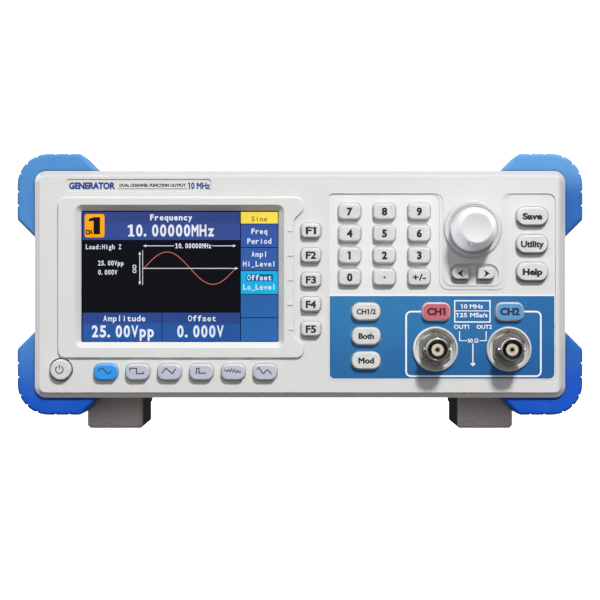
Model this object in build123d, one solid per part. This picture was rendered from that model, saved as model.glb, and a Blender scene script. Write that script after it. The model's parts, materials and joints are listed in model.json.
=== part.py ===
from build123d import *
import os
from math import atan, cos, degrees, radians, sin

# A two-channel bench function generator, in millimetres. It stands on the plane z = 0 with its
# controls facing -Y, and the origin is the middle of its footprint on the bench.

# ---- Overall size ---------------------------------------------------------------------------
WIDTH = 235.0            # over the corner bumpers
DEPTH = 295.0            # from the knob's face to the rear bumpers
FRONT_Y = -DEPTH / 2
REAR_Y = DEPTH / 2
PANEL_Z = 61.5           # height of the middle of the front panel
FOOT_HEIGHT = 16.5

# ---- Front bezel ----------------------------------------------------------------------------
BEZEL_W = 220.0
BEZEL_H = 94.0
BEZEL_CORNER = 4.75
BEZEL_CHAMFER = 2.3
BEZEL_DEPTH = 22.0
KNOB_PROUD = 17.0
PANEL_T = 2.5
PANEL_Y = FRONT_Y + KNOB_PROUD           # the panel's base surface
PANEL_BACK_Y = PANEL_Y + PANEL_T
BEZEL_BACK_Y = PANEL_Y + BEZEL_DEPTH
FIELD_DEPTH = 0.5                        # the control field is sunk this far into the panel
FIELD_Y = PANEL_Y + FIELD_DEPTH
FIELD_LEFT = 11.8
FIELD_RIGHT = 105.7
FIELD_TOP = 37.5
FIELD_BOTTOM = -39.6
TONGUE_X = 71.45                         # the tongue of panel that holds the knob and arrow keys
TONGUE_W = 27.5
TONGUE_BOTTOM = -2.2
TONGUE_LEDGE = 1.5

# ---- Display --------------------------------------------------------------------------------
WINDOW_X = -49.75
WINDOW_Z = 3.3
WINDOW_W = 81.7
WINDOW_H = 54.4
WINDOW_BEVEL = 2.35
SURROUND = 1.2                           # the display surround stands this far off the panel
SURROUND_Y = PANEL_Y - SURROUND
WINDOW_SEAT_Y = PANEL_Y + 1.5
LCD_W = 96.0
LCD_H = 66.0
LCD_T = 5.0
LCD_GLASS_T = 0.8
LCD_EAR_Z = 39.6                         # screw ears above the module
LCD_EARS_X = (-88.0, -12.0)

# ---- Keys -----------------------------------------------------------------------------------
KEY_TRAVEL = 1.2
KEY_PROUD = 2.5
KEY_GAP = 0.12                           # all round, between a key and its hole
POWER_GAP = 0.45                         # the power button's hole shows a dark ring
FLANGE_RIM = 0.8
FLANGE_T = 1.2
FLANGE_FRONT_Y = PANEL_BACK_Y + 0.1
FLANGE_BACK_Y = FLANGE_FRONT_Y + FLANGE_T
PLUNGER_R = 2.0
PLUNGER_TIP_Y = FLANGE_BACK_Y + 1.1
MAT_FRONT_Y = FLANGE_BACK_Y + KEY_TRAVEL + 0.2
MAT_T = 1.0
BOARD_FRONT_Y = MAT_FRONT_Y + MAT_T
BOARD_T = 1.6
BOARD_BACK_Y = BOARD_FRONT_Y + BOARD_T

SOFT_X = 4.5
SOFT_TOP_Z = 22.1
SOFT_PITCH = 10.15
NUMBER_X = 20.5
NUMBER_TOP_Z = 30.0
NUMBER_PITCH_X = 14.35
NUMBER_PITCH_Z = 9.05
MENU_X = 95.9
MENU_TOP_Z = 28.0
MENU_PITCH = 11.45
SIDE_X = 27.3
SIDE_TOP_Z = -11.3
SIDE_PITCH = 10.1
WAVE_X = -80.2
WAVE_Z = -36.3
WAVE_PITCH = 13.15
POWER_X = -98.8
POWER_Z = -35.3
POWER_R = 4.45
ARROW_Z = 4.45
ARROW_LEFT_X = 66.25
ARROW_RIGHT_X = 76.9

# ---- Knob, encoder and output jacks ---------------------------------------------------------
KNOB_X = 71.5
KNOB_Z = 22.8
KNOB_R = 9.3                             # at the back; the knob tapers forwards
KNOB_FRONT_R = 8.4
KNOB_FACE_R = 6.2
KNOB_DISH_R = 30.0                       # curvature of the shallow dish in the knob's face
KNOB_RIM_R = 11.9
SHAFT_R = 3.0
SHAFT_GAP = 0.05
BUSHING_R = 3.5
JACKS_X = (56.0, 86.4)
JACK_Z = -26.8
JACK_BARREL_R = 4.83
JACK_BORE_R = 4.05
JACK_THREAD_R = 4.75
JACK_HEX = 12.5
JACK_FLANGE_T = 2.2
JACK_BARREL_L = 13.0
JACK_LUG_SETBACK = 5.0
RING_R = 9.3
RING_PROUD = 1.7
DISH_R = 7.5
DISH_FLOOR_Y = PANEL_Y + 1.2
REAR_JACKS_X = (-22.0, 8.0)
REAR_JACK_Z = 45.0

# ---- Case -----------------------------------------------------------------------------------
CASE_W = 216.0
CASE_H = 90.0
CASE_CORNER = 3.0
CASE_FIT = 0.1
SHEET = 1.2
CASE_BOTTOM = PANEL_Z - CASE_H / 2
CASE_TOP = PANEL_Z + CASE_H / 2
COVER_FRONT_Y = BEZEL_BACK_Y - 6.0
COVER_BACK_Y = 135.5
COVER_SIDE_BOTTOM = CASE_BOTTOM + 3.2
TRAY_HALF_W = CASE_W / 2 - SHEET - CASE_FIT
TRAY_WALL = 14.0
REAR_FACE_Y = 131.5
REAR_PLATE_Y = REAR_FACE_Y - SHEET
STANDOFF = 6.5
STANDOFF_R = 3.2
DECK_Z = CASE_BOTTOM + SHEET + STANDOFF  # underside of the circuit boards

# ---- Bumpers, feet and tilt legs ------------------------------------------------------------
BUMPER_R = 13.0
BUMPER_FLAT = 26.4
BUMPER_DROP = 27.4                       # down the side, from the bumper's outer face
BUMPER_RISE = 9.3                        # from the case up to the bumper's outer face
BUMPER_OVERHANG = (WIDTH - CASE_W) / 2
FRONT_BUMPER_Y = PANEL_Y + 3.5
FRONT_BUMPER_L = 25.0
REAR_BUMPER_L = 40.0
FOOT_X = 79.2
REAR_FOOT_X = 91.0
FOOT_W = 24.0
FRONT_FOOT_Y = -101.5
FRONT_FOOT_L = 45.0
REAR_FOOT_Y = 72.0
REAR_FOOT_L = 30.0
LEG_W = 17.0
LEG_L = 36.0
LEG_T = 5.0
LEG_PIVOT_Y = FRONT_FOOT_Y + 5.0
LEG_PIVOT_Z = 4.6
LEG_PIVOT_R = 3.4
TRUNNION_R = 1.5
TRUNNION_L = 1.6

# ---- Fan, mains inlet and screws ------------------------------------------------------------
FAN_X = -72.0
FAN_Z = PANEL_Z
FAN_SIZE = 40.0
FAN_T = 10.0
FAN_HOLE_PITCH = 32.0
FAN_BORE_R = 18.8
FAN_HUB_R = 8.5
FAN_SHAFT_R = 1.0
FAN_BLADES = 7
INLET_X = 76.0
INLET_Z = 46.0
INLET_W = 31.0
INLET_H = 49.0
INLET_CAVITY_W = 24.5
INLET_CAVITY_H = 16.7
SWITCH_Z = 69.0
ROCKER_W = 17.6
ROCKER_HALF_H = 5.9
ROCKER_TILT = 8.0
ROCKER_PIVOT_Y = REAR_FACE_Y - 3.0
SCREW_R = 1.25
SCREW_L = 5.0
DISPLAY_SCREW_L = 4.4
SCREW_HEAD_R = 2.7
SCREW_HEAD_H = 1.8
PILOT_R = 1.3
CLEARANCE_R = 1.6
SIDE_SCREWS_Y = (-60.0, 60.0)
SIDE_SCREW_Z = 24.5
REAR_SCREW_Y = 124.5
REAR_SCREWS_Z = (50.0, 73.0)
LUG_X = 40.0
LUG_SCREW_Y = BEZEL_BACK_Y + 4.0
BOSSES = ((27.6, 38.5), (100.0, 38.5), (12.0, -39.5), (101.0, -39.5), (-89.8, -37.5), (41.5, -8.0))
MAIN_BOARD = (-100.0, -88.0, 22.0, 106.0)       # x and y limits
SUPPLY_BOARD = (32.0, -30.0, 100.0, 98.0)
BOARD_HOLE_INSET = 5.0


# ---- Helpers --------------------------------------------------------------------------------
def prism(sketch, y_back, y_front, taper=0.0):
    """A solid that stands on the plane y_back and rises towards -Y, up to y_front."""
    return extrude(Plane.XZ.offset(-y_back) * sketch, y_back - y_front, taper=taper)


def on_panel(x, z):
    """Moves a sketch to a place on the front panel, measured from the panel's middle."""
    return Pos(x, PANEL_Z + z)


def outline(corners):
    """A closed outline through (x, z, corner radius) corners, listed either way round."""
    following = corners[1:] + corners[:1]
    turn = sum(x0 * z1 - x1 * z0 for (x0, z0, _), (x1, z1, _) in zip(corners, following))
    ordered = corners if turn > 0 else corners[::-1]
    face = Polygon(*[(x, z) for x, z, _ in ordered], align=None)
    for x, z, radius in corners:
        if radius > 0:
            corner = face.vertices().sort_by_distance((x, z, 0))[0]
            face = fillet(corner, radius)
    return face


def box(x0, x1, y0, y1, z0, z1):
    """A block between two opposite corners."""
    middle = Pos((x0 + x1) / 2, (y0 + y1) / 2, (z0 + z1) / 2)
    return middle * Box(x1 - x0, y1 - y0, z1 - z0)


def turned(half_section, x, z):
    """A round piece about a line along Y, from its (radius, y) half section."""
    face = Polygon(*half_section, align=None)
    return Pos(x, 0, z) * revolve(face, Axis.Y)


def rod(radius, y_back, y_front, x, z):
    """A round bar along Y."""
    return prism(Pos(x, z) * Circle(radius), y_back, y_front)


def mirrored_pair(piece):
    """The piece and its mirror image on the other side of the instrument."""
    return [piece, mirror(piece, Plane.YZ)]


# ---- Key layout -----------------------------------------------------------------------------
def soft_outline():
    return RectangleRounded(8.5, 6.4, 2.0)


def number_outline():
    return RectangleRounded(9.6, 7.1, 2.2)


def menu_outline():
    return RectangleRounded(13.4, 8.2, 3.8)


def side_outline():
    return RectangleRounded(12.4, 7.7, 3.5)


def output_outline():
    return RectangleRounded(12.0, 7.9, 3.1)


def wave_outline():
    return RectangleRounded(10.2, 7.1, 3.0)


def arrow_outline(side):
    """A key with its outer end nearly round. side is -1 for the left key, 1 for the right."""
    near = -3.65 * side
    far = 3.65 * side
    return outline([(near, -2.65, 0.6), (far, -2.65, 2.4), (far, 2.65, 2.4), (near, 2.65, 0.6)])


def number_keys():
    """The twelve number keys: three columns, from the top row down."""
    rows = (("key_7", "key_8", "key_9"), ("key_4", "key_5", "key_6"),
            ("key_1", "key_2", "key_3"), ("key_0", "key_point", "key_sign"))
    places = []
    for down, row in enumerate(rows):
        for along, name in enumerate(row):
            x = NUMBER_X + along * NUMBER_PITCH_X
            z = NUMBER_TOP_Z - down * NUMBER_PITCH_Z
            places.append((name, x, z, number_outline(), FIELD_Y, 11.0))
    return places


def all_keys():
    """Every key as (name, x, z, outline, y of the surface round it, draft angle)."""
    keys = [("power_button", POWER_X, POWER_Z, Circle(POWER_R), PANEL_Y, 6.0)]
    for along, name in enumerate(("sine", "square", "ramp", "pulse", "noise", "arb")):
        x = WAVE_X + along * WAVE_PITCH
        keys.append(("wave_key_" + name, x, WAVE_Z, wave_outline(), PANEL_Y, 12.0))
    for down in range(5):
        z = SOFT_TOP_Z - down * SOFT_PITCH
        keys.append((f"key_f{down + 1}", SOFT_X, z, soft_outline(), PANEL_Y, 11.0))
    keys += number_keys()
    keys.append(("key_left", ARROW_LEFT_X, ARROW_Z, arrow_outline(-1), PANEL_Y, 6.0))
    keys.append(("key_right", ARROW_RIGHT_X, ARROW_Z, arrow_outline(1), PANEL_Y, 6.0))
    for down, name in enumerate(("save", "utility", "help")):
        z = MENU_TOP_Z - down * MENU_PITCH
        keys.append(("key_" + name, MENU_X, z, menu_outline(), FIELD_Y, 11.0))
    for down, name in enumerate(("channel", "both", "mod")):
        z = SIDE_TOP_Z - down * SIDE_PITCH
        keys.append(("key_" + name, SIDE_X, z, side_outline(), FIELD_Y, 11.0))
    for channel, x in enumerate(JACKS_X):
        keys.append((f"key_ch{channel + 1}", x + 0.2, SIDE_TOP_Z, output_outline(), FIELD_Y, 10.0))
    return keys


def key(x, z, shape, surface_y, draft):
    """A cap with a drafted, rounded head, a retaining flange and a plunger."""
    place = on_panel(x, z)
    neck = prism(place * shape, FLANGE_BACK_Y, surface_y)
    head = prism(place * shape, surface_y, surface_y - KEY_PROUD, taper=draft)
    head = fillet(head.faces().sort_by(Axis.Y)[0].edges(), 0.6)
    flange = prism(place * offset(shape, FLANGE_RIM), FLANGE_BACK_Y, FLANGE_FRONT_Y)
    plunger = prism(place * Circle(PLUNGER_R), PLUNGER_TIP_Y, FLANGE_BACK_Y)
    return neck + head + flange + plunger


# ---- Front panel ----------------------------------------------------------------------------
def surround_outline():
    """The display surround, with a shallow bay on its right for the soft keys."""
    return outline([
        (-100.1, -30.5, 3.3), (1.65, -30.5, 3.3), (1.65, -25.1, 2.5), (-2.5, -21.0, 2.5),
        (-2.5, 26.6, 2.5), (1.65, 30.7, 2.5), (1.65, 36.1, 3.3), (-100.1, 36.1, 3.3)])


def field_outline(tongue_inset):
    """The sunken control field, which leaves a tongue of panel standing round the knob."""
    left = TONGUE_X - TONGUE_W / 2 + tongue_inset
    right = TONGUE_X + TONGUE_W / 2 - tongue_inset
    low = TONGUE_BOTTOM + tongue_inset
    return outline([
        (FIELD_LEFT, FIELD_BOTTOM, 2.5), (FIELD_RIGHT, FIELD_BOTTOM, 2.5),
        (FIELD_RIGHT, FIELD_TOP, 3.0), (right, FIELD_TOP, 3.5), (right, low, 3.7),
        (left, low, 3.7), (left, FIELD_TOP, 3.5), (FIELD_LEFT, FIELD_TOP, 2.0)])


def field_pocket():
    """The control field, stepped in two where it meets the tongue."""
    floor = prism(on_panel(0, 0) * field_outline(0.0), FIELD_Y, PANEL_Y - 1)
    step = prism(on_panel(0, 0) * field_outline(TONGUE_LEDGE), PANEL_Y + FIELD_DEPTH / 2, PANEL_Y - 1)
    return floor + step


def panel_relief():
    """Everything that stands off the panel: the display surround, its ticks, and the rings."""
    surround = prism(on_panel(0, 0) * surround_outline(), PANEL_Y + 0.5, SURROUND_Y)
    surround = fillet(surround.faces().sort_by(Axis.Y)[0].edges(), 0.6)
    relief = surround
    for down in range(5):
        z = SOFT_TOP_Z - down * SOFT_PITCH
        tick = on_panel(-3.9, z) * RectangleRounded(2.1, 0.7, 0.3)
        relief += prism(tick, SURROUND_Y + 0.5, SURROUND_Y - 0.3)
    rim = prism(on_panel(KNOB_X, KNOB_Z) * Circle(KNOB_RIM_R), PANEL_Y + 0.5, PANEL_Y - 1.1)
    rim -= prism(on_panel(KNOB_X, KNOB_Z) * Circle(KNOB_R + 0.7), PANEL_Y, PANEL_Y - 2)
    relief += fillet(rim.faces().sort_by(Axis.Y)[0].edges(), 0.6)
    for x in JACKS_X:
        ring = prism(on_panel(x, JACK_Z) * Circle(RING_R), FIELD_Y + 0.5, FIELD_Y - RING_PROUD)
        relief += fillet(ring.faces().sort_by(Axis.Y)[0].edges(), 0.5)
    return relief


def panel_cuts():
    """The display window, key holes, jack dishes and shallow recesses of the panel."""
    window = on_panel(WINDOW_X, WINDOW_Z) * RectangleRounded(WINDOW_W, WINDOW_H, 0.6)
    bevel_depth = WINDOW_SEAT_Y - SURROUND_Y
    cuts = prism(window, PANEL_BACK_Y + 1, WINDOW_SEAT_Y)
    cuts += prism(window, WINDOW_SEAT_Y, SURROUND_Y, taper=-degrees(atan(WINDOW_BEVEL / bevel_depth)))
    holes = Sketch()
    for name, x, z, shape, _, _ in all_keys():
        gap = POWER_GAP if name == "power_button" else KEY_GAP
        holes += on_panel(x, z) * offset(shape, gap)
    holes += on_panel(KNOB_X, KNOB_Z) * Circle(BUSHING_R + 0.2)
    for x in JACKS_X:
        holes += on_panel(x, JACK_Z) * Circle(JACK_THREAD_R + 0.1)
    cuts += prism(holes, PANEL_BACK_Y + 1, SURROUND_Y - 5)
    nameplate = on_panel(-66.8, 40.85) * RectangleRounded(60.0, 5.3, 1.2)
    cuts += prism(nameplate, PANEL_Y + 0.4, PANEL_Y - 1)
    arrow_bay = on_panel((ARROW_LEFT_X + ARROW_RIGHT_X) / 2 + 0.3, 4.25) * RectangleRounded(20.5, 8.3, 4.0)
    cuts += prism(arrow_bay, PANEL_Y + 0.8, PANEL_Y - 0.2)
    for x in JACKS_X:
        dish = [(0, DISH_FLOOR_Y), (DISH_R, DISH_FLOOR_Y), (DISH_R, FIELD_Y - 0.2),
                (DISH_R + 0.5, FIELD_Y - 0.6), (DISH_R + 1.1, FIELD_Y - RING_PROUD),
                (DISH_R + 1.1, SURROUND_Y - 5), (0, SURROUND_Y - 5)]
        cuts += turned(dish, x, PANEL_Z + JACK_Z)
    return cuts


def panel_bosses():
    """Screw bosses for the control board and display, and lugs for the bottom cover."""
    bosses = Part()
    for x, z in BOSSES:
        bosses += rod(2.8, BOARD_FRONT_Y, PANEL_BACK_Y - 0.5, x, PANEL_Z + z)
    for x in LCD_EARS_X:
        bosses += rod(2.8, PANEL_BACK_Y + 2.0, PANEL_BACK_Y - 0.5, x, PANEL_Z + LCD_EAR_Z)
    lug_back = LUG_SCREW_Y + 4.5
    floor = CASE_BOTTOM + SHEET + CASE_FIT
    for x in (-LUG_X, LUG_X):
        bosses += box(x - 5, x + 5, COVER_FRONT_Y - 5.5, lug_back, floor, floor + 6.0)
        bosses += box(x - 5, x + 5, COVER_FRONT_Y - 5.5, COVER_FRONT_Y - 0.3, CASE_BOTTOM - 0.6, floor + 1)
    return bosses


def boss_pilots():
    """Blind pilot holes in the bezel's bosses and lugs."""
    pilots = Part()
    for x, z in BOSSES:
        pilots += rod(PILOT_R, BOARD_FRONT_Y + 1, PANEL_BACK_Y + 0.05, x, PANEL_Z + z)
    for x in LCD_EARS_X:
        pilots += rod(PILOT_R, PANEL_BACK_Y + 3, PANEL_BACK_Y - 1.6, x, PANEL_Z + LCD_EAR_Z)
    for x in (-LUG_X, LUG_X):
        pilots += Pos(x, LUG_SCREW_Y, CASE_BOTTOM + 3.0) * Cylinder(PILOT_R, 6.5)
    return pilots


def front_bezel():
    """The moulded front: a shallow box, open at the back, with all of the panel's features."""
    shell = prism(on_panel(0, 0) * RectangleRounded(BEZEL_W, BEZEL_H, BEZEL_CORNER), BEZEL_BACK_Y, PANEL_Y)
    shell = chamfer(shell.faces().sort_by(Axis.Y)[0].edges(), BEZEL_CHAMFER)
    opening = RectangleRounded(CASE_W + 2 * CASE_FIT, CASE_H + 2 * CASE_FIT, CASE_CORNER + CASE_FIT)
    shell -= prism(on_panel(0, 0) * opening, BEZEL_BACK_Y, PANEL_BACK_Y)
    shell -= field_pocket()
    shell += panel_relief()
    shell -= panel_cuts()
    shell += panel_bosses()
    return shell - boss_pilots()


def lcd_module():
    """The display: a metal-framed module with its glass standing up into the window."""
    place = on_panel(WINDOW_X, WINDOW_Z)
    module = prism(place * Rectangle(LCD_W, LCD_H), PANEL_BACK_Y + LCD_T, PANEL_BACK_Y)
    glass = place * RectangleRounded(WINDOW_W - 0.2, WINDOW_H - 0.2, 0.5)
    module += prism(glass, PANEL_BACK_Y, PANEL_BACK_Y - LCD_GLASS_T)
    for x in LCD_EARS_X:
        ear = on_panel(x, LCD_EAR_Z - 1.6) * RectangleRounded(7.0, 9.5, 1.5)
        module += prism(ear, PANEL_BACK_Y + 3.0, PANEL_BACK_Y + 2.0)
        module -= rod(CLEARANCE_R, PANEL_BACK_Y + 4, PANEL_BACK_Y + 1.5, x, PANEL_Z + LCD_EAR_Z)
        module -= box(x - 3.6, x + 3.6, PANEL_BACK_Y + 3.0, PANEL_BACK_Y + LCD_T + 1,
                      PANEL_Z + LCD_EAR_Z - 6.6, PANEL_Z + LCD_EAR_Z + 4)
    return module


def output_overlay():
    """The printed film round the channel keys and output jacks."""
    film = outline([
        (FIELD_LEFT + 0.1, -39.4, 2.5), (FIELD_RIGHT - 0.1, -39.4, 2.5),
        (FIELD_RIGHT - 0.1, -4.9, 0.0), (FIELD_LEFT + 0.1, -4.9, 0.0)])
    for name, x, z, shape, _, _ in all_keys():
        if name in ("key_channel", "key_both", "key_mod", "key_ch1", "key_ch2"):
            film -= Pos(x, z) * offset(shape, KEY_GAP + 0.1)
    for x in JACKS_X:
        film -= Pos(x, JACK_Z) * Circle(RING_R + 0.1)
    return prism(on_panel(0, 0) * film, FIELD_Y, FIELD_Y - 0.3)


def board_outline():
    """The L shape shared by the keypad mat and the control board."""
    field = Pos(51.8, -0.5) * Rectangle(106.4, 84.0)
    strip = Pos(-53.0, -36.75) * Rectangle(105.0, 11.5)
    return field + strip


def keypad_mat():
    """The rubber mat: a web with an opening at each plunger, on the control board."""
    web = board_outline()
    for _, x, z, _, _, _ in all_keys():
        web -= Pos(x, z) * Circle(PLUNGER_R + 0.3)
    for x, z in BOSSES:
        web -= Pos(x, z) * Circle(3.1)
    for x in JACKS_X:
        web -= Pos(x, JACK_Z) * Circle(8.5)
    web -= Pos(KNOB_X, KNOB_Z) * Rectangle(13.0, 13.0)
    return prism(on_panel(0, 0) * web, BOARD_FRONT_Y, MAT_FRONT_Y)


def control_board():
    """The board behind the keys."""
    board = board_outline()
    for x, z in BOSSES:
        board -= Pos(x, z) * Circle(CLEARANCE_R)
    for x in JACKS_X:
        board -= Pos(x, JACK_Z) * Circle(8.5)
    return prism(on_panel(0, 0) * board, BOARD_BACK_Y, BOARD_FRONT_Y)


# ---- Knob and encoder -----------------------------------------------------------------------
def encoder_body():
    """A square can on the control board, with a bushing through the panel."""
    place = on_panel(KNOB_X, KNOB_Z)
    can_front = PANEL_BACK_Y + 0.1
    can = prism(place * RectangleRounded(12.0, 12.0, 0.8), BOARD_FRONT_Y, can_front)
    can += prism(place * Circle(BUSHING_R), BOARD_FRONT_Y, PANEL_Y - 2.5)
    can -= prism(place * Circle(4.9), BOARD_FRONT_Y, can_front + 1.0)
    return can - prism(place * Circle(SHAFT_R + SHAFT_GAP), BOARD_FRONT_Y, PANEL_Y - 5)


def encoder_shaft():
    """The turning shaft, held in the can by its collar."""
    collar_y = BOARD_FRONT_Y - 0.9
    collar = rod(4.5, collar_y, collar_y - 1.2, KNOB_X, PANEL_Z + KNOB_Z)
    shaft = rod(SHAFT_R, collar_y, FRONT_Y + 4.5, KNOB_X, PANEL_Z + KNOB_Z)
    return collar + shaft


def knob():
    """The hollow dial knob, with a bevelled rim and a finger dimple."""
    back = PANEL_Y - 0.8
    body = turned([(0, back), (KNOB_R, back), (KNOB_FRONT_R, FRONT_Y + 3.6),
                   (KNOB_FACE_R + 0.3, FRONT_Y + 0.3), (KNOB_FACE_R, FRONT_Y), (0, FRONT_Y)], 0, 0)
    rim = body.edges().filter_by(GeomType.CIRCLE).sort_by(Axis.Y)
    body = fillet([edge for edge in rim if abs(edge.center().Y - FRONT_Y - 3.6) < 0.01], 1.0)
    hollow = turned([(0, back + 1), (7.6, back + 1), (7.4, FRONT_Y + 5.5), (0, FRONT_Y + 5.5)], 0, 0)
    hub = turned([(0, PANEL_Y - 3.2), (4.8, PANEL_Y - 3.2), (4.8, FRONT_Y + 4.0), (0, FRONT_Y + 4.0)], 0, 0)
    bore = turned([(0, back + 1), (SHAFT_R + 0.02, back + 1), (SHAFT_R + 0.02, FRONT_Y + 4.3),
                   (0, FRONT_Y + 4.3)], 0, 0)
    dish = Pos(0, FRONT_Y + 0.55 - KNOB_DISH_R, 0) * Sphere(KNOB_DISH_R)
    dimple_angle = radians(248)
    reach = 8.0
    dimple = Pos(reach * cos(dimple_angle), FRONT_Y + 1.1, reach * sin(dimple_angle)) * Sphere(1.45)
    return Pos(KNOB_X, 0, PANEL_Z + KNOB_Z) * (body - dish - hollow + hub - bore - dimple)


# ---- Output jacks ---------------------------------------------------------------------------
def jack_places():
    """The four jacks as (x, z, y of the flange's seat, direction of the barrel along Y)."""
    front = [(x, PANEL_Z + JACK_Z, DISH_FLOOR_Y, -1) for x in JACKS_X]
    rear = [(x, REAR_JACK_Z, REAR_FACE_Y, 1) for x in REAR_JACKS_X]
    return front + rear


def place_jack(piece, x, z, seat_y, direction):
    """Moves a jack piece, modelled along +Y from its flange's seat, to its place."""
    if direction < 0:
        piece = Rot(0, 0, 180) * piece
    return Pos(x, seat_y, z) * piece


def hexagon(across_flats, y0, y1):
    """A hexagonal plate on the Y axis, with one flat up."""
    sketch = RegularPolygon(across_flats / 2, 6, major_radius=False, rotation=30)
    return prism(sketch, y1, y0)


def jack_shell():
    """One bayonet jack: thread, hexagonal flange, bored barrel and two lugs."""
    end = JACK_FLANGE_T + JACK_BARREL_L
    thread = rod(JACK_THREAD_R, 0, -9.0, 0, 0)
    flange = chamfer(hexagon(JACK_HEX, 0, JACK_FLANGE_T).faces().sort_by(Axis.Y)[-1].edges(), 0.4)
    barrel = rod(JACK_BARREL_R, end, JACK_FLANGE_T, 0, 0)
    barrel = chamfer(barrel.faces().sort_by(Axis.Y)[-1].edges(), 0.3)
    lugs = Pos(0, end - JACK_LUG_SETBACK, 0) * Rot(0, 90, 0) * Cylinder(1.0, 11.0)
    shell = thread + flange + barrel + lugs
    shell -= rod(JACK_BORE_R, end + 1, JACK_FLANGE_T + 2.5, 0, 0)
    return shell - rod(2.0, JACK_FLANGE_T + 3, -10.0, 0, 0)


def jack_nut():
    """The nut behind the panel."""
    return hexagon(JACK_HEX, -2.3, 0) - rod(JACK_THREAD_R + 0.02, 1, -3, 0, 0)


def bnc_shells():
    """The plated shells of the four jacks, each with its nut."""
    pieces = []
    for x, z, seat_y, direction in jack_places():
        wall = PANEL_BACK_Y - DISH_FLOOR_Y if direction < 0 else SHEET
        nut = Pos(0, -wall, 0) * jack_nut()
        pieces.append(place_jack(jack_shell(), x, z, seat_y, direction))
        pieces.append(place_jack(nut, x, z, seat_y, direction))
    return pieces


def bnc_insulators():
    """The white dielectrics inside the jacks."""
    tip = JACK_FLANGE_T + JACK_BARREL_L - 1.6
    web = JACK_FLANGE_T + 2.5
    insulator = rod(2.55, tip, web, 0, 0)
    insulator = fillet(insulator.faces().sort_by(Axis.Y)[-1].edges(), 0.25)
    insulator += rod(2.0, web, -9.0, 0, 0)
    insulator -= rod(1.1, tip + 1, -10, 0, 0)
    return [place_jack(insulator, *place) for place in jack_places()]


def bnc_contacts():
    """The centre contacts, each a socket in front and a solder pin behind."""
    tip = JACK_FLANGE_T + JACK_BARREL_L - 1.9
    contact = rod(1.1, tip, -11.5, 0, 0) - rod(0.68, tip + 1, tip - 6, 0, 0)
    return [place_jack(contact, *place) for place in jack_places()]


# ---- Case -----------------------------------------------------------------------------------
def side_screw_places():
    """Where screws enter the case's right side, as (y, z)."""
    low = [(y, SIDE_SCREW_Z) for y in SIDE_SCREWS_Y]
    rear = [(REAR_SCREW_Y, z) for z in REAR_SCREWS_Z]
    return low + rear


def side_drill(y, z, radius):
    """A drill right across the case along X."""
    return Pos(0, y, z) * Rot(0, 90, 0) * Cylinder(radius, CASE_W + 20)


def slot_row(count, pitch, y_first, z, height, x0, x1):
    """A row of upright vent slots through a side wall."""
    slots = Part()
    for i in range(count):
        y = y_first + i * pitch
        slots += box(x0, x1, y - 1.25, y + 1.25, z - height / 2, z + height / 2)
    return slots


def top_cover():
    """The folded lid: roof and two sides, hooked into the bezel."""
    half = CASE_W / 2
    outer = outline([(-half, COVER_SIDE_BOTTOM, 0), (half, COVER_SIDE_BOTTOM, 0),
                     (half, CASE_TOP, CASE_CORNER), (-half, CASE_TOP, CASE_CORNER)])
    inner = outline([(SHEET - half, 0, 0), (half - SHEET, 0, 0),
                     (half - SHEET, CASE_TOP - SHEET, CASE_CORNER - SHEET),
                     (SHEET - half, CASE_TOP - SHEET, CASE_CORNER - SHEET)])
    cover = prism(outer - inner, COVER_BACK_Y, COVER_FRONT_Y)
    cover -= slot_row(14, 6.0, 10.0, PANEL_Z + 4, 30.0, -half - 1, half + 1)
    for y, z in side_screw_places():
        cover -= side_drill(y, z, CLEARANCE_R)
    return cover


def standoff_places():
    """Corner holes of the two boards on the bottom cover, as (x, y)."""
    places = []
    for x0, y0, x1, y1 in (MAIN_BOARD, SUPPLY_BOARD):
        for x in (x0 + BOARD_HOLE_INSET, x1 - BOARD_HOLE_INSET):
            for y in (y0 + BOARD_HOLE_INSET, y1 - BOARD_HOLE_INSET):
                places.append((x, y))
    return places


def bottom_cover():
    """The folded tray, with standoffs for the boards."""
    half = TRAY_HALF_W
    top = CASE_BOTTOM + TRAY_WALL
    outer = outline([(-half, top, 0), (-half, CASE_BOTTOM, 2.2), (half, CASE_BOTTOM, 2.2), (half, top, 0)])
    inner = outline([(SHEET - half, top + 1, 0), (SHEET - half, CASE_BOTTOM + SHEET, 1.0),
                     (half - SHEET, CASE_BOTTOM + SHEET, 1.0), (half - SHEET, top + 1, 0)])
    tray = prism(outer - inner, COVER_BACK_Y, COVER_FRONT_Y)
    for x, y in standoff_places():
        tray += Pos(x, y, CASE_BOTTOM + (SHEET + STANDOFF) / 2) * Cylinder(STANDOFF_R, SHEET + STANDOFF)
        tray -= Pos(x, y, DECK_Z - 2.5) * Cylinder(PILOT_R, 5.0)
    for y in SIDE_SCREWS_Y:
        tray -= side_drill(y, SIDE_SCREW_Z, PILOT_R)
    for x in (-LUG_X, LUG_X):
        tray -= Pos(x, LUG_SCREW_Y, CASE_BOTTOM) * Cylinder(CLEARANCE_R, 5)
    for i in range(9):
        y = -30.0 + i * 6.0
        tray -= box(-30, 30, y - 1.25, y + 1.25, CASE_BOTTOM - 1, CASE_BOTTOM + SHEET + 1)
    return tray


def fan_grille():
    """The openings in front of the fan: ring slots broken by four bars."""
    rings = Part()
    for radius in (6.0, 10.0, 14.0, 18.0):
        ring = Circle(radius) - Circle(radius - 2.6)
        rings += prism(Pos(FAN_X, FAN_Z) * ring, REAR_FACE_Y + 1, REAR_PLATE_Y - 1)
    for angle in (45, 135):
        bar = Pos(FAN_X, FAN_Z) * Rot(0, 0, angle) * Rectangle(40, 2.6)
        rings -= prism(bar, REAR_FACE_Y + 2, REAR_PLATE_Y - 2)
    return rings


def fan_screw_places():
    """The fan's four corner holes, as (x, z)."""
    reach = FAN_HOLE_PITCH / 2
    return [(FAN_X + i * reach, FAN_Z + k * reach) for i in (-1, 1) for k in (-1, 1)]


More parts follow.
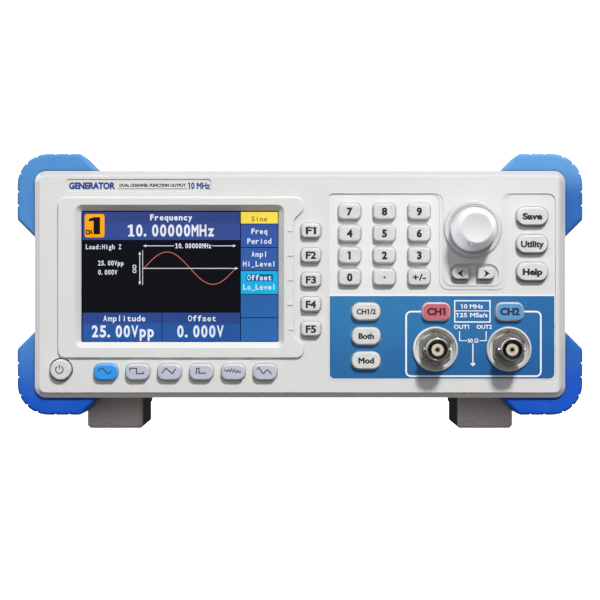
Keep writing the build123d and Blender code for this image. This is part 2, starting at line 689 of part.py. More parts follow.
def rear_panel():
    """The folded rear plate, with flanges that the lid's screws hold."""
    half = TRAY_HALF_W
    floor = CASE_BOTTOM + SHEET + CASE_FIT
    roof = CASE_TOP - SHEET - CASE_FIT
    shoulder = CASE_BOTTOM + TRAY_WALL + 0.5
    low_half = half - SHEET - 0.2
    plate = outline([(-low_half, floor, 0.6), (low_half, floor, 0.6), (low_half, shoulder, 0),
                     (half, shoulder, 0), (half, roof, 2.0), (-half, roof, 2.0),
                     (-half, shoulder, 0), (-low_half, shoulder, 0)])
    panel = prism(plate, REAR_FACE_Y, REAR_PLATE_Y)
    for side in (-1, 1):
        x0, x1 = sorted((side * half, side * (half - SHEET)))
        panel += box(x0, x1, REAR_SCREW_Y - 6, REAR_FACE_Y, shoulder + 2, roof - 5)
    for z in REAR_SCREWS_Z:
        panel -= side_drill(REAR_SCREW_Y, z, PILOT_R)
    panel -= fan_grille()
    for x, z in fan_screw_places():
        panel -= rod(CLEARANCE_R, REAR_FACE_Y + 1, REAR_PLATE_Y - 1, x, z)
    for x in REAR_JACKS_X:
        panel -= rod(JACK_THREAD_R + 0.1, REAR_FACE_Y + 1, REAR_PLATE_Y - 1, x, REAR_JACK_Z)
    middle = (INLET_Z + SWITCH_Z) / 2
    cutout = Pos(INLET_X, middle) * RectangleRounded(INLET_W - 3.0, INLET_H - 3.0, 2.2)
    return panel - prism(cutout, REAR_FACE_Y + 1, REAR_PLATE_Y - 1)


# ---- Bumpers --------------------------------------------------------------------------------
def bumper_outline(lip):
    """One corner bumper seen from the front, at the top right. lip closes over the case's end."""
    right = WIDTH / 2
    top = CASE_TOP + BUMPER_RISE
    start_x = right - BUMPER_FLAT - BUMPER_RISE
    start_z = top - BUMPER_DROP - BUMPER_OVERHANG
    inner_x = CASE_W / 2 - lip
    inner_z = CASE_TOP - lip
    outer = [(start_x, CASE_TOP, 0), (right - BUMPER_FLAT, top, 2.0), (right, top, BUMPER_R),
             (right, top - BUMPER_DROP, 2.0), (CASE_W / 2, start_z, 0)]
    inner = [(inner_x, inner_z, CASE_CORNER + lip / 3)]
    if lip > 0:
        inner = [(inner_x, start_z, 0)] + inner + [(start_x, inner_z, 0)]
    return outline(outer + inner)


def bumper_notches(y_back, y_front):
    """V grooves along the bumper's outer faces and round its corner."""
    right = WIDTH / 2
    top = CASE_TOP + BUMPER_RISE
    vee = Polygon((-0.9, 0), (0.5, -1.0), (0.5, 1.0), align=None)
    grooves = Sketch()
    for setback in (15.8, 21.6):
        grooves += Pos(right - setback, top) * Rot(0, 0, 90) * vee
        grooves += Pos(right, top - setback) * vee
    for angle in (22.5, 45.0, 67.5):
        x = right - BUMPER_R + BUMPER_R * cos(radians(angle))
        z = top - BUMPER_R + BUMPER_R * sin(radians(angle))
        grooves += Pos(x, z) * Rot(0, 0, angle) * vee
    return prism(grooves, y_back + 1, y_front - 1)


def four_corners(corner):
    """The piece at the top right, and its mirror images at the other three corners."""
    mid_plane = Plane.XY.offset(PANEL_Z)
    right_side = [corner, mirror(corner, mid_plane)]
    return [piece for one in right_side for piece in mirrored_pair(one)]


def front_bumpers():
    """Four corner guards that step in behind the bezel's rim."""
    back = FRONT_BUMPER_Y + FRONT_BUMPER_L
    guard = prism(bumper_outline(0.0), back, FRONT_BUMPER_Y)
    guard = fillet(guard.faces().sort_by(Axis.Y)[0].edges(), 1.2)
    guard -= bumper_notches(back, FRONT_BUMPER_Y)
    bezel = on_panel(0, 0) * RectangleRounded(BEZEL_W, BEZEL_H, BEZEL_CORNER)
    return four_corners(guard - prism(bezel, BEZEL_BACK_Y, PANEL_Y))


def rear_bumpers():
    """Four corner guards that close over the back edge of the case."""
    front = REAR_Y - REAR_BUMPER_L
    guard = prism(bumper_outline(0.0), COVER_BACK_Y, front)
    guard += prism(bumper_outline(9.0), REAR_Y, COVER_BACK_Y)
    guard = fillet(guard.faces().sort_by(Axis.Y)[-1].edges(), 1.2)
    return four_corners(guard - bumper_notches(REAR_Y, front))


# ---- Feet and tilt legs ---------------------------------------------------------------------
def foot_block(x, y_front, length):
    """A plain foot, tapered at its lower edges."""
    block = box(x - FOOT_W / 2, x + FOOT_W / 2, y_front, y_front + length, 0, FOOT_HEIGHT)
    upright = block.edges().filter_by(Axis.Z)
    block = fillet(upright, 2.0)
    return chamfer(block.faces().sort_by(Axis.Z)[0].edges(), 1.2)


def front_foot():
    """A foot with a nest for the folded tilt leg, and holes for the leg's trunnions."""
    foot = foot_block(FOOT_X, FRONT_FOOT_Y, FRONT_FOOT_L)
    half = LEG_W / 2 + 0.4
    ceiling = LEG_PIVOT_Z + LEG_PIVOT_R + 0.5
    nest_back = LEG_PIVOT_Y + LEG_L + 1.5
    foot -= box(FOOT_X - half, FOOT_X + half, FRONT_FOOT_Y + 1.2, nest_back, -1, ceiling)
    hole = Cylinder(TRUNNION_R + SHAFT_GAP, 2 * (half + TRUNNION_L))
    return foot - Pos(FOOT_X, LEG_PIVOT_Y, LEG_PIVOT_Z) * Rot(0, 90, 0) * hole


def feet():
    """Two front feet with nests and two plain rear feet."""
    return mirrored_pair(front_foot()) + mirrored_pair(foot_block(REAR_FOOT_X, REAR_FOOT_Y, REAR_FOOT_L))


def tilt_leg():
    """The right-hand folding leg: a windowed blade with a barrel and two trunnions."""
    half = LEG_W / 2
    low = LEG_PIVOT_Z - LEG_T / 2 - 0.6
    high = low + LEG_T
    tip_y = LEG_PIVOT_Y + LEG_L
    blade = box(FOOT_X - half, FOOT_X + half, LEG_PIVOT_Y, tip_y, low, high)
    tip_edges = blade.faces().sort_by(Axis.Y)[-1].edges().filter_by(Axis.X)
    blade = fillet(tip_edges, 2.2)
    blade -= box(FOOT_X - 4.5, FOOT_X + 4.5, LEG_PIVOT_Y + 8, tip_y - 10, low - 1, high + 1)
    for i in range(3):
        y = tip_y - 3.0 - i * 2.0
        blade -= box(FOOT_X - half - 1, FOOT_X + half + 1, y - 0.4, y + 0.4, low - 1, low + 0.5)
    across = Rot(0, 90, 0)
    barrel = across * Cylinder(LEG_PIVOT_R, LEG_W)
    trunnions = across * Cylinder(TRUNNION_R, LEG_W + 2 * (0.2 + TRUNNION_L))
    return blade + Pos(FOOT_X, LEG_PIVOT_Y, LEG_PIVOT_Z) * (barrel + trunnions)


# ---- Inside the case ------------------------------------------------------------------------
def board_with_parts(limits, parts):
    """A circuit board with (x, y, width, depth, height) components on its top face."""
    x0, y0, x1, y1 = limits
    top = DECK_Z + BOARD_T
    board = box(x0, x1, y0, y1, DECK_Z, top)
    for x, y, width, depth, height in parts:
        board += box(x - width / 2, x + width / 2, y - depth / 2, y + depth / 2, top, top + height)
    for x in (x0 + BOARD_HOLE_INSET, x1 - BOARD_HOLE_INSET):
        for y in (y0 + BOARD_HOLE_INSET, y1 - BOARD_HOLE_INSET):
            board -= Pos(x, y, DECK_Z) * Cylinder(CLEARANCE_R, 6)
    return board


def main_board():
    """The signal board: processor, converters, shielded output stages and a finned heat sink."""
    parts = [(-75, -50, 22, 22, 2.5), (-35, -55, 16, 16, 2.0), (-5, -45, 30, 40, 14.0),
             (-5, 10, 30, 40, 14.0), (-75, 0, 12, 18, 2.0), (-50, 0, 10, 10, 2.0)]
    fins = [(-70 + i * 5, 60, 1.6, 40, 22) for i in range(9)]
    return board_with_parts(MAIN_BOARD, parts + fins + [(-50, 60, 44, 40, 4.0)])


def power_supply():
    """The mains supply board: transformer, capacitors and two heat sinks."""
    parts = [(66, 20, 36, 40, 32.0), (48, 68, 16, 24, 24.0), (84, 62, 18, 18, 26.0),
             (40, 20, 4, 60, 26.0), (92, 10, 4, 50, 26.0), (66, -12, 30, 14, 16.0)]
    return board_with_parts(SUPPLY_BOARD, parts)


def fan_frame():
    """The fan's square frame, with struts, a motor plate and a bearing tube."""
    back = REAR_PLATE_Y
    place = Pos(FAN_X, FAN_Z)
    frame = RectangleRounded(FAN_SIZE, FAN_SIZE, 2.5) - Circle(FAN_BORE_R)
    body = prism(place * frame, back, back - FAN_T)
    plate = Circle(FAN_HUB_R)
    for angle in (0, 90):
        plate += Rot(0, 0, angle) * Rectangle(2 * FAN_BORE_R + 1.5, 2.4)
    body += prism(place * plate, back, back - 1.5)
    body += prism(place * Circle(2.4), back, back - 6.5)
    body -= prism(place * Circle(FAN_SHAFT_R + SHAFT_GAP), back - 0.8, back - 8)
    for x, z in fan_screw_places():
        body -= rod(PILOT_R, back + 1, back - 5.0, x, z)
    return body


def fan_rotor():
    """The impeller: a cup on a shaft, with pitched blades."""
    back = REAR_PLATE_Y - 2.0
    front = REAR_PLATE_Y - FAN_T + 0.5
    rotor = rod(FAN_HUB_R, back, front, 0, 0) - rod(FAN_HUB_R - 1.2, back + 1, front + 1.2, 0, 0)
    rotor += rod(FAN_SHAFT_R, REAR_PLATE_Y - 1.0, front + 0.5, 0, 0)
    disc = prism(Circle(FAN_BORE_R - 0.8) - Circle(FAN_HUB_R - 0.4), back, front)
    for i in range(FAN_BLADES):
        blade = Pos(FAN_BORE_R - 6, (back + front) / 2, 0) * Rot(50, 0, 0) * Box(12.4, 10.0, 1.0)
        rotor += Rot(0, i * 360 / FAN_BLADES, 0) * blade & disc
    return Pos(FAN_X, 0, FAN_Z) * rotor


def mains_inlet():
    """The appliance inlet and its switch housing, in one moulding with three contact blades."""
    middle = (INLET_Z + SWITCH_Z) / 2
    mouth_y = REAR_FACE_Y + 2.0
    cavity_back = mouth_y - 17.0
    flange = Pos(INLET_X, middle) * RectangleRounded(INLET_W, INLET_H, 2.5)
    body = prism(flange, mouth_y, REAR_FACE_Y)
    body = chamfer(body.faces().sort_by(Axis.Y)[-1].edges(), 0.5)
    neck = Pos(INLET_X, middle) * RectangleRounded(INLET_W - 3.4, INLET_H - 3.4, 2.0)
    body += prism(neck, REAR_FACE_Y, cavity_back - 4.0)
    w = INLET_CAVITY_W / 2
    h = INLET_CAVITY_H / 2
    mouth = outline([(-w, -h, 1.0), (w, -h, 1.0), (w, h - 4, 1.0), (w - 4, h, 1.0),
                     (4 - w, h, 1.0), (-w, h - 4, 1.0)])
    body -= prism(Pos(INLET_X, INLET_Z) * mouth, mouth_y + 1, cavity_back)
    for x, z in ((-7.0, -2.0), (7.0, -2.0), (0.0, 2.0)):
        blade = Pos(INLET_X + x, INLET_Z + z) * Rectangle(2.0, 4.0)
        body += prism(blade, mouth_y - 3.0, cavity_back - 1)
    opening = Pos(INLET_X, SWITCH_Z) * Rectangle(ROCKER_W + 0.8, 2 * ROCKER_HALF_H + 2.2)
    body -= prism(opening, mouth_y + 1, ROCKER_PIVOT_Y - 6.5)
    holes = Rot(0, 90, 0) * Cylinder(TRUNNION_R + SHAFT_GAP, ROCKER_W + 0.8 + 2 * 1.3)
    return body - Pos(INLET_X, ROCKER_PIVOT_Y, SWITCH_Z) * holes


def mains_rocker():
    """The rocker, resting with its upper end pressed in."""
    section = Polygon((-5.9, 1.0), (-5.9, 6.4), (0, 5.2), (5.9, 6.4), (5.9, 1.0), (2.5, -3.0),
                      (-2.5, -3.0), align=None)
    body = extrude(Plane.YZ * Rot(0, 0, 90) * (Rot(0, 0, 180) * section), ROCKER_W / 2, both=True)
    body = fillet(body.edges().filter_by(Axis.X).sort_by(Axis.Y)[-3:], 0.6)
    trunnions = Rot(0, 90, 0) * Cylinder(TRUNNION_R, ROCKER_W + 2.8)
    return Pos(INLET_X, ROCKER_PIVOT_Y, SWITCH_Z) * (Rot(ROCKER_TILT, 0, 0) * (body + trunnions))


# ---- Screws ---------------------------------------------------------------------------------
def screw(origin, head_direction, length=SCREW_L):
    """A cross-head screw whose head stands on origin, pointing along head_direction."""
    head = Pos(0, 0, SCREW_HEAD_H / 2) * Cylinder(SCREW_HEAD_R, SCREW_HEAD_H)
    head = fillet(head.faces().sort_by(Axis.Z)[-1].edges(), 0.9)
    for angle in (0, 90):
        head -= Pos(0, 0, SCREW_HEAD_H) * Rot(0, 0, angle) * Box(3.0, 0.6, 1.6)
    shank = Pos(0, 0, -length / 2) * Cylinder(SCREW_R, length)
    return Plane(origin=origin, z_dir=head_direction) * (head + shank)


def case_screws():
    """All of the machine screws: case sides, bezel lugs, boards, display and fan."""
    half = CASE_W / 2
    screws = []
    for y, z in side_screw_places():
        screws.append(screw((half, y, z), (1, 0, 0)))
        screws.append(screw((-half, y, z), (-1, 0, 0)))
    for x in (-LUG_X, LUG_X):
        screws.append(screw((x, LUG_SCREW_Y, CASE_BOTTOM), (0, 0, -1)))
    for x, z in BOSSES:
        screws.append(screw((x, BOARD_BACK_Y, PANEL_Z + z), (0, 1, 0)))
    for x in LCD_EARS_X:
        screws.append(screw((x, PANEL_BACK_Y + 3.0, PANEL_Z + LCD_EAR_Z), (0, 1, 0), DISPLAY_SCREW_L))
    for x, y in standoff_places():
        screws.append(screw((x, y, DECK_Z + BOARD_T), (0, 0, 1)))
    for x, z in fan_screw_places():
        screws.append(screw((x, REAR_FACE_Y, z), (0, 1, 0)))
    return screws


# ---- Assembly -------------------------------------------------------------------------------
def build():
    """Every sub-part by name."""
    right_leg = tilt_leg()
    parts = {
        "front_bezel": front_bezel(),
        "lcd_module": lcd_module(),
        "output_overlay": output_overlay(),
        "keypad_mat": keypad_mat(),
        "control_board": control_board(),
        "encoder_body": encoder_body(),
        "encoder_shaft": encoder_shaft(),
        "knob": knob(),
        "bnc_shells": bnc_shells(),
        "bnc_insulators": bnc_insulators(),
        "bnc_contacts": bnc_contacts(),
        "top_cover": top_cover(),
        "bottom_cover": bottom_cover(),
        "rear_panel": rear_panel(),
        "front_bumpers": front_bumpers(),
        "rear_bumpers": rear_bumpers(),
        "feet": feet(),
        "tilt_leg_right": right_leg,
        "tilt_leg_left": mirror(right_leg, Plane.YZ),
        "main_board": main_board(),
        "power_supply": power_supply(),
        "fan_frame": fan_frame(),
        "fan_rotor": fan_rotor(),
        "mains_inlet": mains_inlet(),
        "mains_rocker": mains_rocker(),
        "case_screws": case_screws(),
    }
    for name, x, z, shape, surface_y, draft in all_keys():
        parts[name] = key(x, z, shape, surface_y, draft)
    return parts


os.makedirs("parts", exist_ok=True)
for node, shape in build().items():
    if isinstance(shape, list):
        shape = Compound(children=shape)
    export_step(shape, f"parts/{node}.step")
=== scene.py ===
import json
import math

import bmesh
import bpy
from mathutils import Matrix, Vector


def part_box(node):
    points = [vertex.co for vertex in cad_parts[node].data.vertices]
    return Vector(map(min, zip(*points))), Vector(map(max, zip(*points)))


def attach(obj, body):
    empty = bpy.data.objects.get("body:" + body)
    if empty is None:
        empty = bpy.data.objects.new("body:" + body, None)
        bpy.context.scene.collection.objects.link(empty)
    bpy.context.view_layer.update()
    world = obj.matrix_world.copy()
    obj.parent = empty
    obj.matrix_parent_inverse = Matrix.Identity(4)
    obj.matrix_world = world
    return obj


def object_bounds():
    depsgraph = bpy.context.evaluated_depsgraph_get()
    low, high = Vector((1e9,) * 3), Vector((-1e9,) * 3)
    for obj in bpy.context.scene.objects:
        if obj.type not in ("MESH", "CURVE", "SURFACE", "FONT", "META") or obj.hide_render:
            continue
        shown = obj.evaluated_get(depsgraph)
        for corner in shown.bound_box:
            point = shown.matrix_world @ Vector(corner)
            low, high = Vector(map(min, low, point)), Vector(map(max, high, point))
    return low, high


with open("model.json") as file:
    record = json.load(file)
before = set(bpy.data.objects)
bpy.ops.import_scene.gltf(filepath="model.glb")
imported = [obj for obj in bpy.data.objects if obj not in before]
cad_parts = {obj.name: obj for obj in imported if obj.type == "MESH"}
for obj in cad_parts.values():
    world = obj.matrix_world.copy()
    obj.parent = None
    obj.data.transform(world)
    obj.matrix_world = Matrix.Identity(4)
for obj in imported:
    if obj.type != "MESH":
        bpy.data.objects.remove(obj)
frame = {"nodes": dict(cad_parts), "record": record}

# Looks for a two-channel bench function generator. Lengths are in metres, +Z is up and the
# controls face -Y. Every place is measured from the CAD frame.

MM = 0.001
CAD_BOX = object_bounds()
whole_low, whole_high = (Vector(corner) for corner in CAD_BOX)

bezel_low, bezel_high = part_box("front_bezel")
film_low, film_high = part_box("output_overlay")
glass_low, glass_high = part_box("lcd_module")

FIELD_DEPTH = 0.5 * MM                   # how far the control field is sunk into the panel
PANEL_X = (bezel_low.x + bezel_high.x) / 2
PANEL_Z = (bezel_low.z + bezel_high.z) / 2
FIELD_Y = film_high.y
PANEL_Y = FIELD_Y - FIELD_DEPTH          # the panel's base surface
FILM_Y = film_low.y
GLASS_Y = glass_low.y
NAMEPLATE_Y = PANEL_Y + 0.4 * MM         # the strip above the display lies this much deeper
PRINT_T = 0.04 * MM                      # thickness of printed marks
SCREEN_T = 0.02 * MM                     # thickness of one layer of lit cells on the display
FLOOR_DROP = 34 * MM                     # room under the feet for the tilt legs to fold out
MATERIALS = {}                           # every material, by the name asked for


# ---- Shader helpers -------------------------------------------------------------------------
def srgb(red, green, blue):
    """A linear colour from 0 to 255 display values."""
    def linear(value):
        value /= 255
        return value / 12.92 if value <= 0.04045 else ((value + 0.055) / 1.055) ** 2.4
    return (linear(red), linear(green), linear(blue), 1.0)


class Nodes:
    """A node tree, and short ways to add nodes to it."""

    def __init__(self, tree):
        self.tree = tree

    def add(self, kind, **settings):
        node = self.tree.nodes.new(kind)
        for key, value in settings.items():
            setattr(node, key, value)
        return node

    def put(self, socket, value):
        """Links an output to a socket, or writes a plain value there."""
        if isinstance(value, bpy.types.NodeSocket):
            self.tree.links.new(value, socket)
        else:
            socket.default_value = value

    def math(self, operation, a, b=0.0):
        node = self.add("ShaderNodeMath", operation=operation)
        self.put(node.inputs[0], a)
        self.put(node.inputs[1], b)
        return node.outputs[0]

    def times(self, a, b):
        return self.math("MULTIPLY", a, b)

    def plus(self, a, b):
        return self.math("ADD", a, b)

    def ramp(self, value, low, high, out_low=0.0, out_high=1.0):
        """Runs smoothly from out_low to out_high as the value goes from low to high."""
        node = self.add("ShaderNodeMapRange", interpolation_type="SMOOTHSTEP")
        self.put(node.inputs["Value"], value)
        for socket, number in zip(("From Min", "From Max", "To Min", "To Max"),
                                  (low, high, out_low, out_high)):
            node.inputs[socket].default_value = number
        return node.outputs["Result"]

    def mix(self, factor, a, b):
        """The colour a where the factor is 0, and b where it is 1."""
        node = self.add("ShaderNodeMix", data_type="RGBA")
        for key, value in (("Factor_Float", factor), ("A_Color", a), ("B_Color", b)):
            self.put(self.socket(node.inputs, key), value)
        return self.socket(node.outputs, "Result_Color")

    def mix_numbers(self, factor, a, b):
        """The number a where the factor is 0, and b where it is 1."""
        node = self.add("ShaderNodeMix", data_type="FLOAT")
        for key, value in (("Factor_Float", factor), ("A_Float", a), ("B_Float", b)):
            self.put(self.socket(node.inputs, key), value)
        return self.socket(node.outputs, "Result_Float")

    @staticmethod
    def socket(sockets, identifier):
        """The socket with an identifier, for nodes that name several sockets alike."""
        return next(socket for socket in sockets if socket.identifier == identifier)


class Graph(Nodes):
    """One material and the nodes that make it. MATERIALS holds it by its name."""

    def __init__(self, name):
        self.material = MATERIALS[name] = bpy.data.materials.new(name)
        self.material.use_nodes = True
        super().__init__(self.material.node_tree)
        self.shader = self.tree.nodes["Principled BSDF"]
        self.place = self.add("ShaderNodeTexCoord").outputs["Object"]

    def noise(self, size_mm, detail=2.0, stretch=(1, 1, 1), roughness=0.5):
        """Noise whose features are about size_mm across, 0 to 1."""
        mapping = self.add("ShaderNodeMapping")
        self.put(mapping.inputs["Vector"], self.place)
        mapping.inputs["Scale"].default_value = stretch
        node = self.add("ShaderNodeTexNoise")
        self.put(node.inputs["Vector"], mapping.outputs[0])
        node.inputs["Scale"].default_value = 1.0 / (size_mm * MM)
        node.inputs["Detail"].default_value = detail
        node.inputs["Roughness"].default_value = roughness
        return node.outputs["Fac"]

    def axis(self, name):
        """The row-frame coordinate X, Y or Z of the shaded point."""
        node = self.add("ShaderNodeSeparateXYZ")
        self.put(node.inputs[0], self.place)
        return node.outputs[name]

    def facing(self, axis="Y", weight=-1.0):
        """The rest normal along an axis, times a weight: by default 1 on a front face."""
        split = self.add("ShaderNodeSeparateXYZ")
        rest = self.add("ShaderNodeVectorTransform", vector_type="NORMAL",
                        convert_from="WORLD", convert_to="OBJECT")
        self.put(rest.inputs[0], self.add("ShaderNodeNewGeometry").outputs["Normal"])
        self.put(split.inputs[0], rest.outputs[0])
        return self.times(split.outputs[axis], weight)

    def edges(self, radius_mm):
        """1 along convex and concave edges, 0 on flats."""
        bevel = self.add("ShaderNodeBevel", samples=4)
        bevel.inputs["Radius"].default_value = radius_mm * MM
        dot = self.add("ShaderNodeVectorMath", operation="DOT_PRODUCT")
        self.put(dot.inputs[0], bevel.outputs[0])
        self.put(dot.inputs[1], self.add("ShaderNodeNewGeometry").outputs["Normal"])
        return self.ramp(dot.outputs["Value"], 0.995, 0.90)

    def creases(self, reach_mm):
        """1 in corners and beside raised parts, 0 in the open."""
        node = self.add("ShaderNodeAmbientOcclusion", samples=6)
        node.inputs["Distance"].default_value = reach_mm * MM
        return self.ramp(node.outputs["AO"], 0.95, 0.35)

    def relief(self, height, depth_mm, edge_mm=0.0):
        """Feeds a bump into the shader, over edges softened to edge_mm."""
        bump = self.add("ShaderNodeBump")
        bump.inputs["Distance"].default_value = depth_mm * MM
        self.put(bump.inputs["Height"], height)
        if edge_mm > 0:
            bevel = self.add("ShaderNodeBevel", samples=4)
            bevel.inputs["Radius"].default_value = edge_mm * MM
            self.put(bump.inputs["Normal"], bevel.outputs[0])
        self.put(self.shader.inputs["Normal"], bump.outputs[0])

    def set(self, **inputs):
        """Sets inputs of the shader, whose names have underscores for spaces here."""
        for name, value in inputs.items():
            self.put(self.shader.inputs[name.replace("_", " ")], value)


def shade(colour, factor):
    """The colour made darker or lighter by a factor."""
    return tuple(min(1.0, channel * factor) for channel in colour[:3]) + (1.0,)


def moulded(name, colour, roughness=0.42, grain_mm=0.35, depth_mm=0.02, mottle=0.05, tint=None):
    """Moulded plastic: fine spark-eroded grain, faint mottling, edges rubbed paler and painted shade
    that darkens the creases. tint(g, base) may change the base colour."""
    wear, darkening = 0.12, 0.35
    g = Graph(name)
    grain = g.noise(grain_mm, detail=3.0, roughness=0.6)
    patches = g.noise(3.5, detail=3.0)
    haze = g.noise(45.0, detail=1.0)
    dull, bright = shade(colour, 1 - mottle), shade(colour, 1 + mottle / 2)
    base = g.mix(g.ramp(patches, 0.3, 0.7), dull, bright)
    base = g.mix(g.ramp(grain, 0.35, 0.75, 0.0, mottle * 3), base, shade(colour, 1 - mottle * 2))
    if tint:
        base = tint(g, base)
    base = g.mix(g.times(g.edges(0.35), wear), base, shade(colour, 1.25))
    # Painted shade: corners and the ground beside raised parts are darkened.
    base = g.mix(g.times(g.creases(1.6), darkening), base, shade(colour, 0.55))
    sheen = g.plus(g.ramp(haze, 0.3, 0.7, -0.04, 0.04), roughness)
    g.set(Base_Color=base, Roughness=g.plus(sheen, g.ramp(grain, 0.2, 0.8, -0.05, 0.05)))
    g.set(Specular_IOR_Level=0.45)
    g.relief(g.plus(grain, g.times(patches, 0.4)), depth_mm, 0.2)
    return g.material


def rubber(name, colour):
    """Guard rubber: a matt, faintly pitted skin with scuffs, with painted light making it paler above,
    painted shade making it deeper below and in the creases, and painted light and shade changing it a
    little from left to right."""
    g = Graph(name)
    pits = g.noise(0.5, detail=4.0, roughness=0.65)
    patches = g.noise(9.0, detail=3.0)
    scuffs = g.noise(2.2, detail=4.0, stretch=(1.0, 0.25, 1.0), roughness=0.7)
    # Painted light and shade: upper arm paler, lower arm deeper, sides and top changing from left to
    # right.
    height = g.axis("Z")
    upper = g.ramp(height, bezel_high.z - 12 * MM, bezel_high.z + 2 * MM)
    lower = g.ramp(height, bezel_low.z + 30 * MM, bezel_low.z - 6 * MM)
    to_right = g.ramp(g.axis("X"), whole_low.x * 0.9, whole_high.x * 0.9)
    side = g.mix(to_right, colour, srgb(38, 100, 180))
    top = g.mix(to_right, srgb(84, 148, 208), srgb(108, 172, 228))
    base = g.mix(g.times(upper, 0.75), side, top)
    base = g.mix(lower, base, srgb(0, 80, 200))
    base = g.mix(g.ramp(patches, 0.3, 0.7, 0.0, 0.12), base, srgb(70, 130, 200))
    base = g.mix(g.ramp(pits, 0.55, 0.8, 0.0, 0.25), base, srgb(24, 70, 140))
    base = g.mix(g.ramp(scuffs, 0.62, 0.8, 0.0, 0.12), base, srgb(130, 176, 220))
    base = g.mix(g.times(g.edges(0.6), 0.25), base, srgb(120, 172, 222))
    # Painted shade in the creases, such as the band beside the bezel.
    base = g.mix(g.times(g.creases(6.0), 0.6), base, srgb(20, 60, 130))
    g.set(Base_Color=base, Roughness=g.ramp(pits, 0.2, 0.8, 0.42, 0.60))
    g.set(Specular_IOR_Level=0.25, Sheen_Weight=0.05, Sheen_Roughness=0.4)
    g.relief(g.plus(pits, g.times(scuffs, 0.5)), 0.05, 1.6)
    return g.material


def powder_coat(name, colour):
    """Painted sheet steel: orange-peel skin with fine speckle, and edges worn towards the metal."""
    g = Graph(name)
    peel = g.noise(0.9, detail=2.0)
    speckle = g.noise(0.3, detail=1.0)
    cloud = g.noise(60.0, detail=2.0)
    base = g.mix(g.ramp(cloud, 0.3, 0.7), shade(colour, 0.97), shade(colour, 1.02))
    base = g.mix(g.ramp(speckle, 0.62, 0.72, 0.0, 0.35), base, shade(colour, 0.70))
    worn = g.times(g.edges(0.3), g.ramp(g.noise(2.0, detail=4.0), 0.45, 0.65, 0.0, 0.6))
    base = g.mix(worn, base, srgb(150, 150, 150))
    g.set(Base_Color=base, Roughness=g.ramp(peel, 0.2, 0.8, 0.40, 0.52))
    g.set(Metallic=g.times(worn, 0.8))
    g.relief(g.plus(peel, g.times(speckle, 0.3)), 0.05, 0.25)
    return g.material


def turned_metal(name, colour, roughness, marks=0.10):
    """Metal turned about the Y axis and plated: fine rings along the axis, faint tarnish, and painted
    shade that darkens its bores and hollows.
    """
    g = Graph(name)
    rings = g.noise(0.09, detail=3.0, stretch=(0.02, 1.0, 0.02), roughness=0.7)
    stains = g.noise(1.6, detail=4.0)
    base = g.mix(g.ramp(stains, 0.4, 0.75, 0.0, 0.3), colour, shade(colour, 0.72))
    base = g.mix(g.times(g.edges(0.2), 0.3), base, shade(colour, 1.2))
    # Painted shade: bores and hollows darkened almost to black.
    base = g.mix(g.times(g.creases(7.0), 0.85), base, shade(colour, 0.06))
    g.set(Base_Color=base, Metallic=1.0)
    g.set(Roughness=g.plus(g.ramp(rings, 0.25, 0.75, 0.0, marks), roughness))
    g.relief(g.plus(rings, g.times(stains, 0.3)), 0.004, 0.12)
    return g.material


def circuit(name, colour):
    """A circuit board: solder mask over paler tracks."""
    g = Graph(name)
    weave = g.noise(0.7, detail=2.0)
    tracks = g.add("ShaderNodeTexBrick")
    g.put(tracks.inputs["Vector"], g.place)
    tracks.inputs["Scale"].default_value = 260.0
    tracks.inputs["Mortar Size"].default_value = 0.03
    tracks.inputs["Color1"].default_value = (0, 0, 0, 1)
    tracks.inputs["Color2"].default_value = (0.25, 0.25, 0.25, 1)
    tracks.inputs["Mortar"].default_value = (1, 1, 1, 1)
    base = g.mix(g.ramp(weave, 0.3, 0.7), shade(colour, 0.8), shade(colour, 1.1))
    base = g.mix(g.times(tracks.outputs["Color"], 0.5), base, shade(colour, 1.9))
    g.set(Base_Color=base, Roughness=g.ramp(weave, 0.2, 0.8, 0.28, 0.42))
    g.relief(g.plus(tracks.outputs["Color"], weave), 0.03, 0.1)
    return g.material


# ---- Materials ------------------------------------------------------------------------------
def panel_tint(g, base):
    """Lightens the sunken control field, the display surround and the rings, and paints shade on the
    upper and right rims of the front and light on the left and lower ones."""
    depth = g.axis("Y")
    raised = g.ramp(depth, PANEL_Y - 0.2 * MM, PANEL_Y - 0.6 * MM)
    right = g.ramp(g.axis("X"), PANEL_X + 8.5 * MM, PANEL_X + 9.0 * MM)
    sunk = g.ramp(depth, PANEL_Y + 0.3 * MM, PANEL_Y + 0.45 * MM)
    fading = g.ramp(g.axis("X"), PANEL_X + 52 * MM, PANEL_X + 62 * MM, 0.9, 0.15)
    white = g.times(g.times(g.math("MAXIMUM", sunk, raised), right), fading)
    base = g.mix(g.times(raised, 0.35), base, srgb(228, 228, 226))
    base = g.mix(white, base, srgb(233, 233, 231))
    jacks = g.ramp(g.axis("X"), PANEL_X + 52 * MM, PANEL_X + 54 * MM, 0.0, 0.85)
    base = g.mix(g.times(raised, jacks), base, srgb(202, 202, 201))
    # Painted light and shade on the rims: greyer above and on the right, lighter on the left and
    # below.
    rims = (("Z", bezel_high.z - 2.4 * MM, bezel_high.z - 1.8 * MM, 0.85, srgb(188, 188, 187)),
            ("X", bezel_high.x - 3.6 * MM, bezel_high.x - 2.6 * MM, 0.80, srgb(196, 195, 194)),
            ("X", bezel_low.x + 2.6 * MM, bezel_low.x + 1.8 * MM, 0.90, srgb(253, 254, 255)),
            ("Z", bezel_low.z + 1.9 * MM, bezel_low.z + 1.1 * MM, 0.95, srgb(255, 243, 238)))
    for axis, inner, outer, strength, colour in rims:
        base = g.mix(g.ramp(g.axis(axis), inner, outer, 0.0, strength), base, colour)
    return base


def two_tone(face, side, edge=0.70):
    """A tint with one colour on the key's face and another on its sides."""
    def tint(g, base):
        on_face = g.ramp(g.facing(), edge, edge + 0.25)
        speckle = g.ramp(g.noise(0.3, detail=3.0), 0.3, 0.7, 0.0, 0.10)
        front = g.mix(speckle, face, shade(face, 0.75))
        return g.mix(on_face, g.mix(0.7, base, side), front)
    return tint


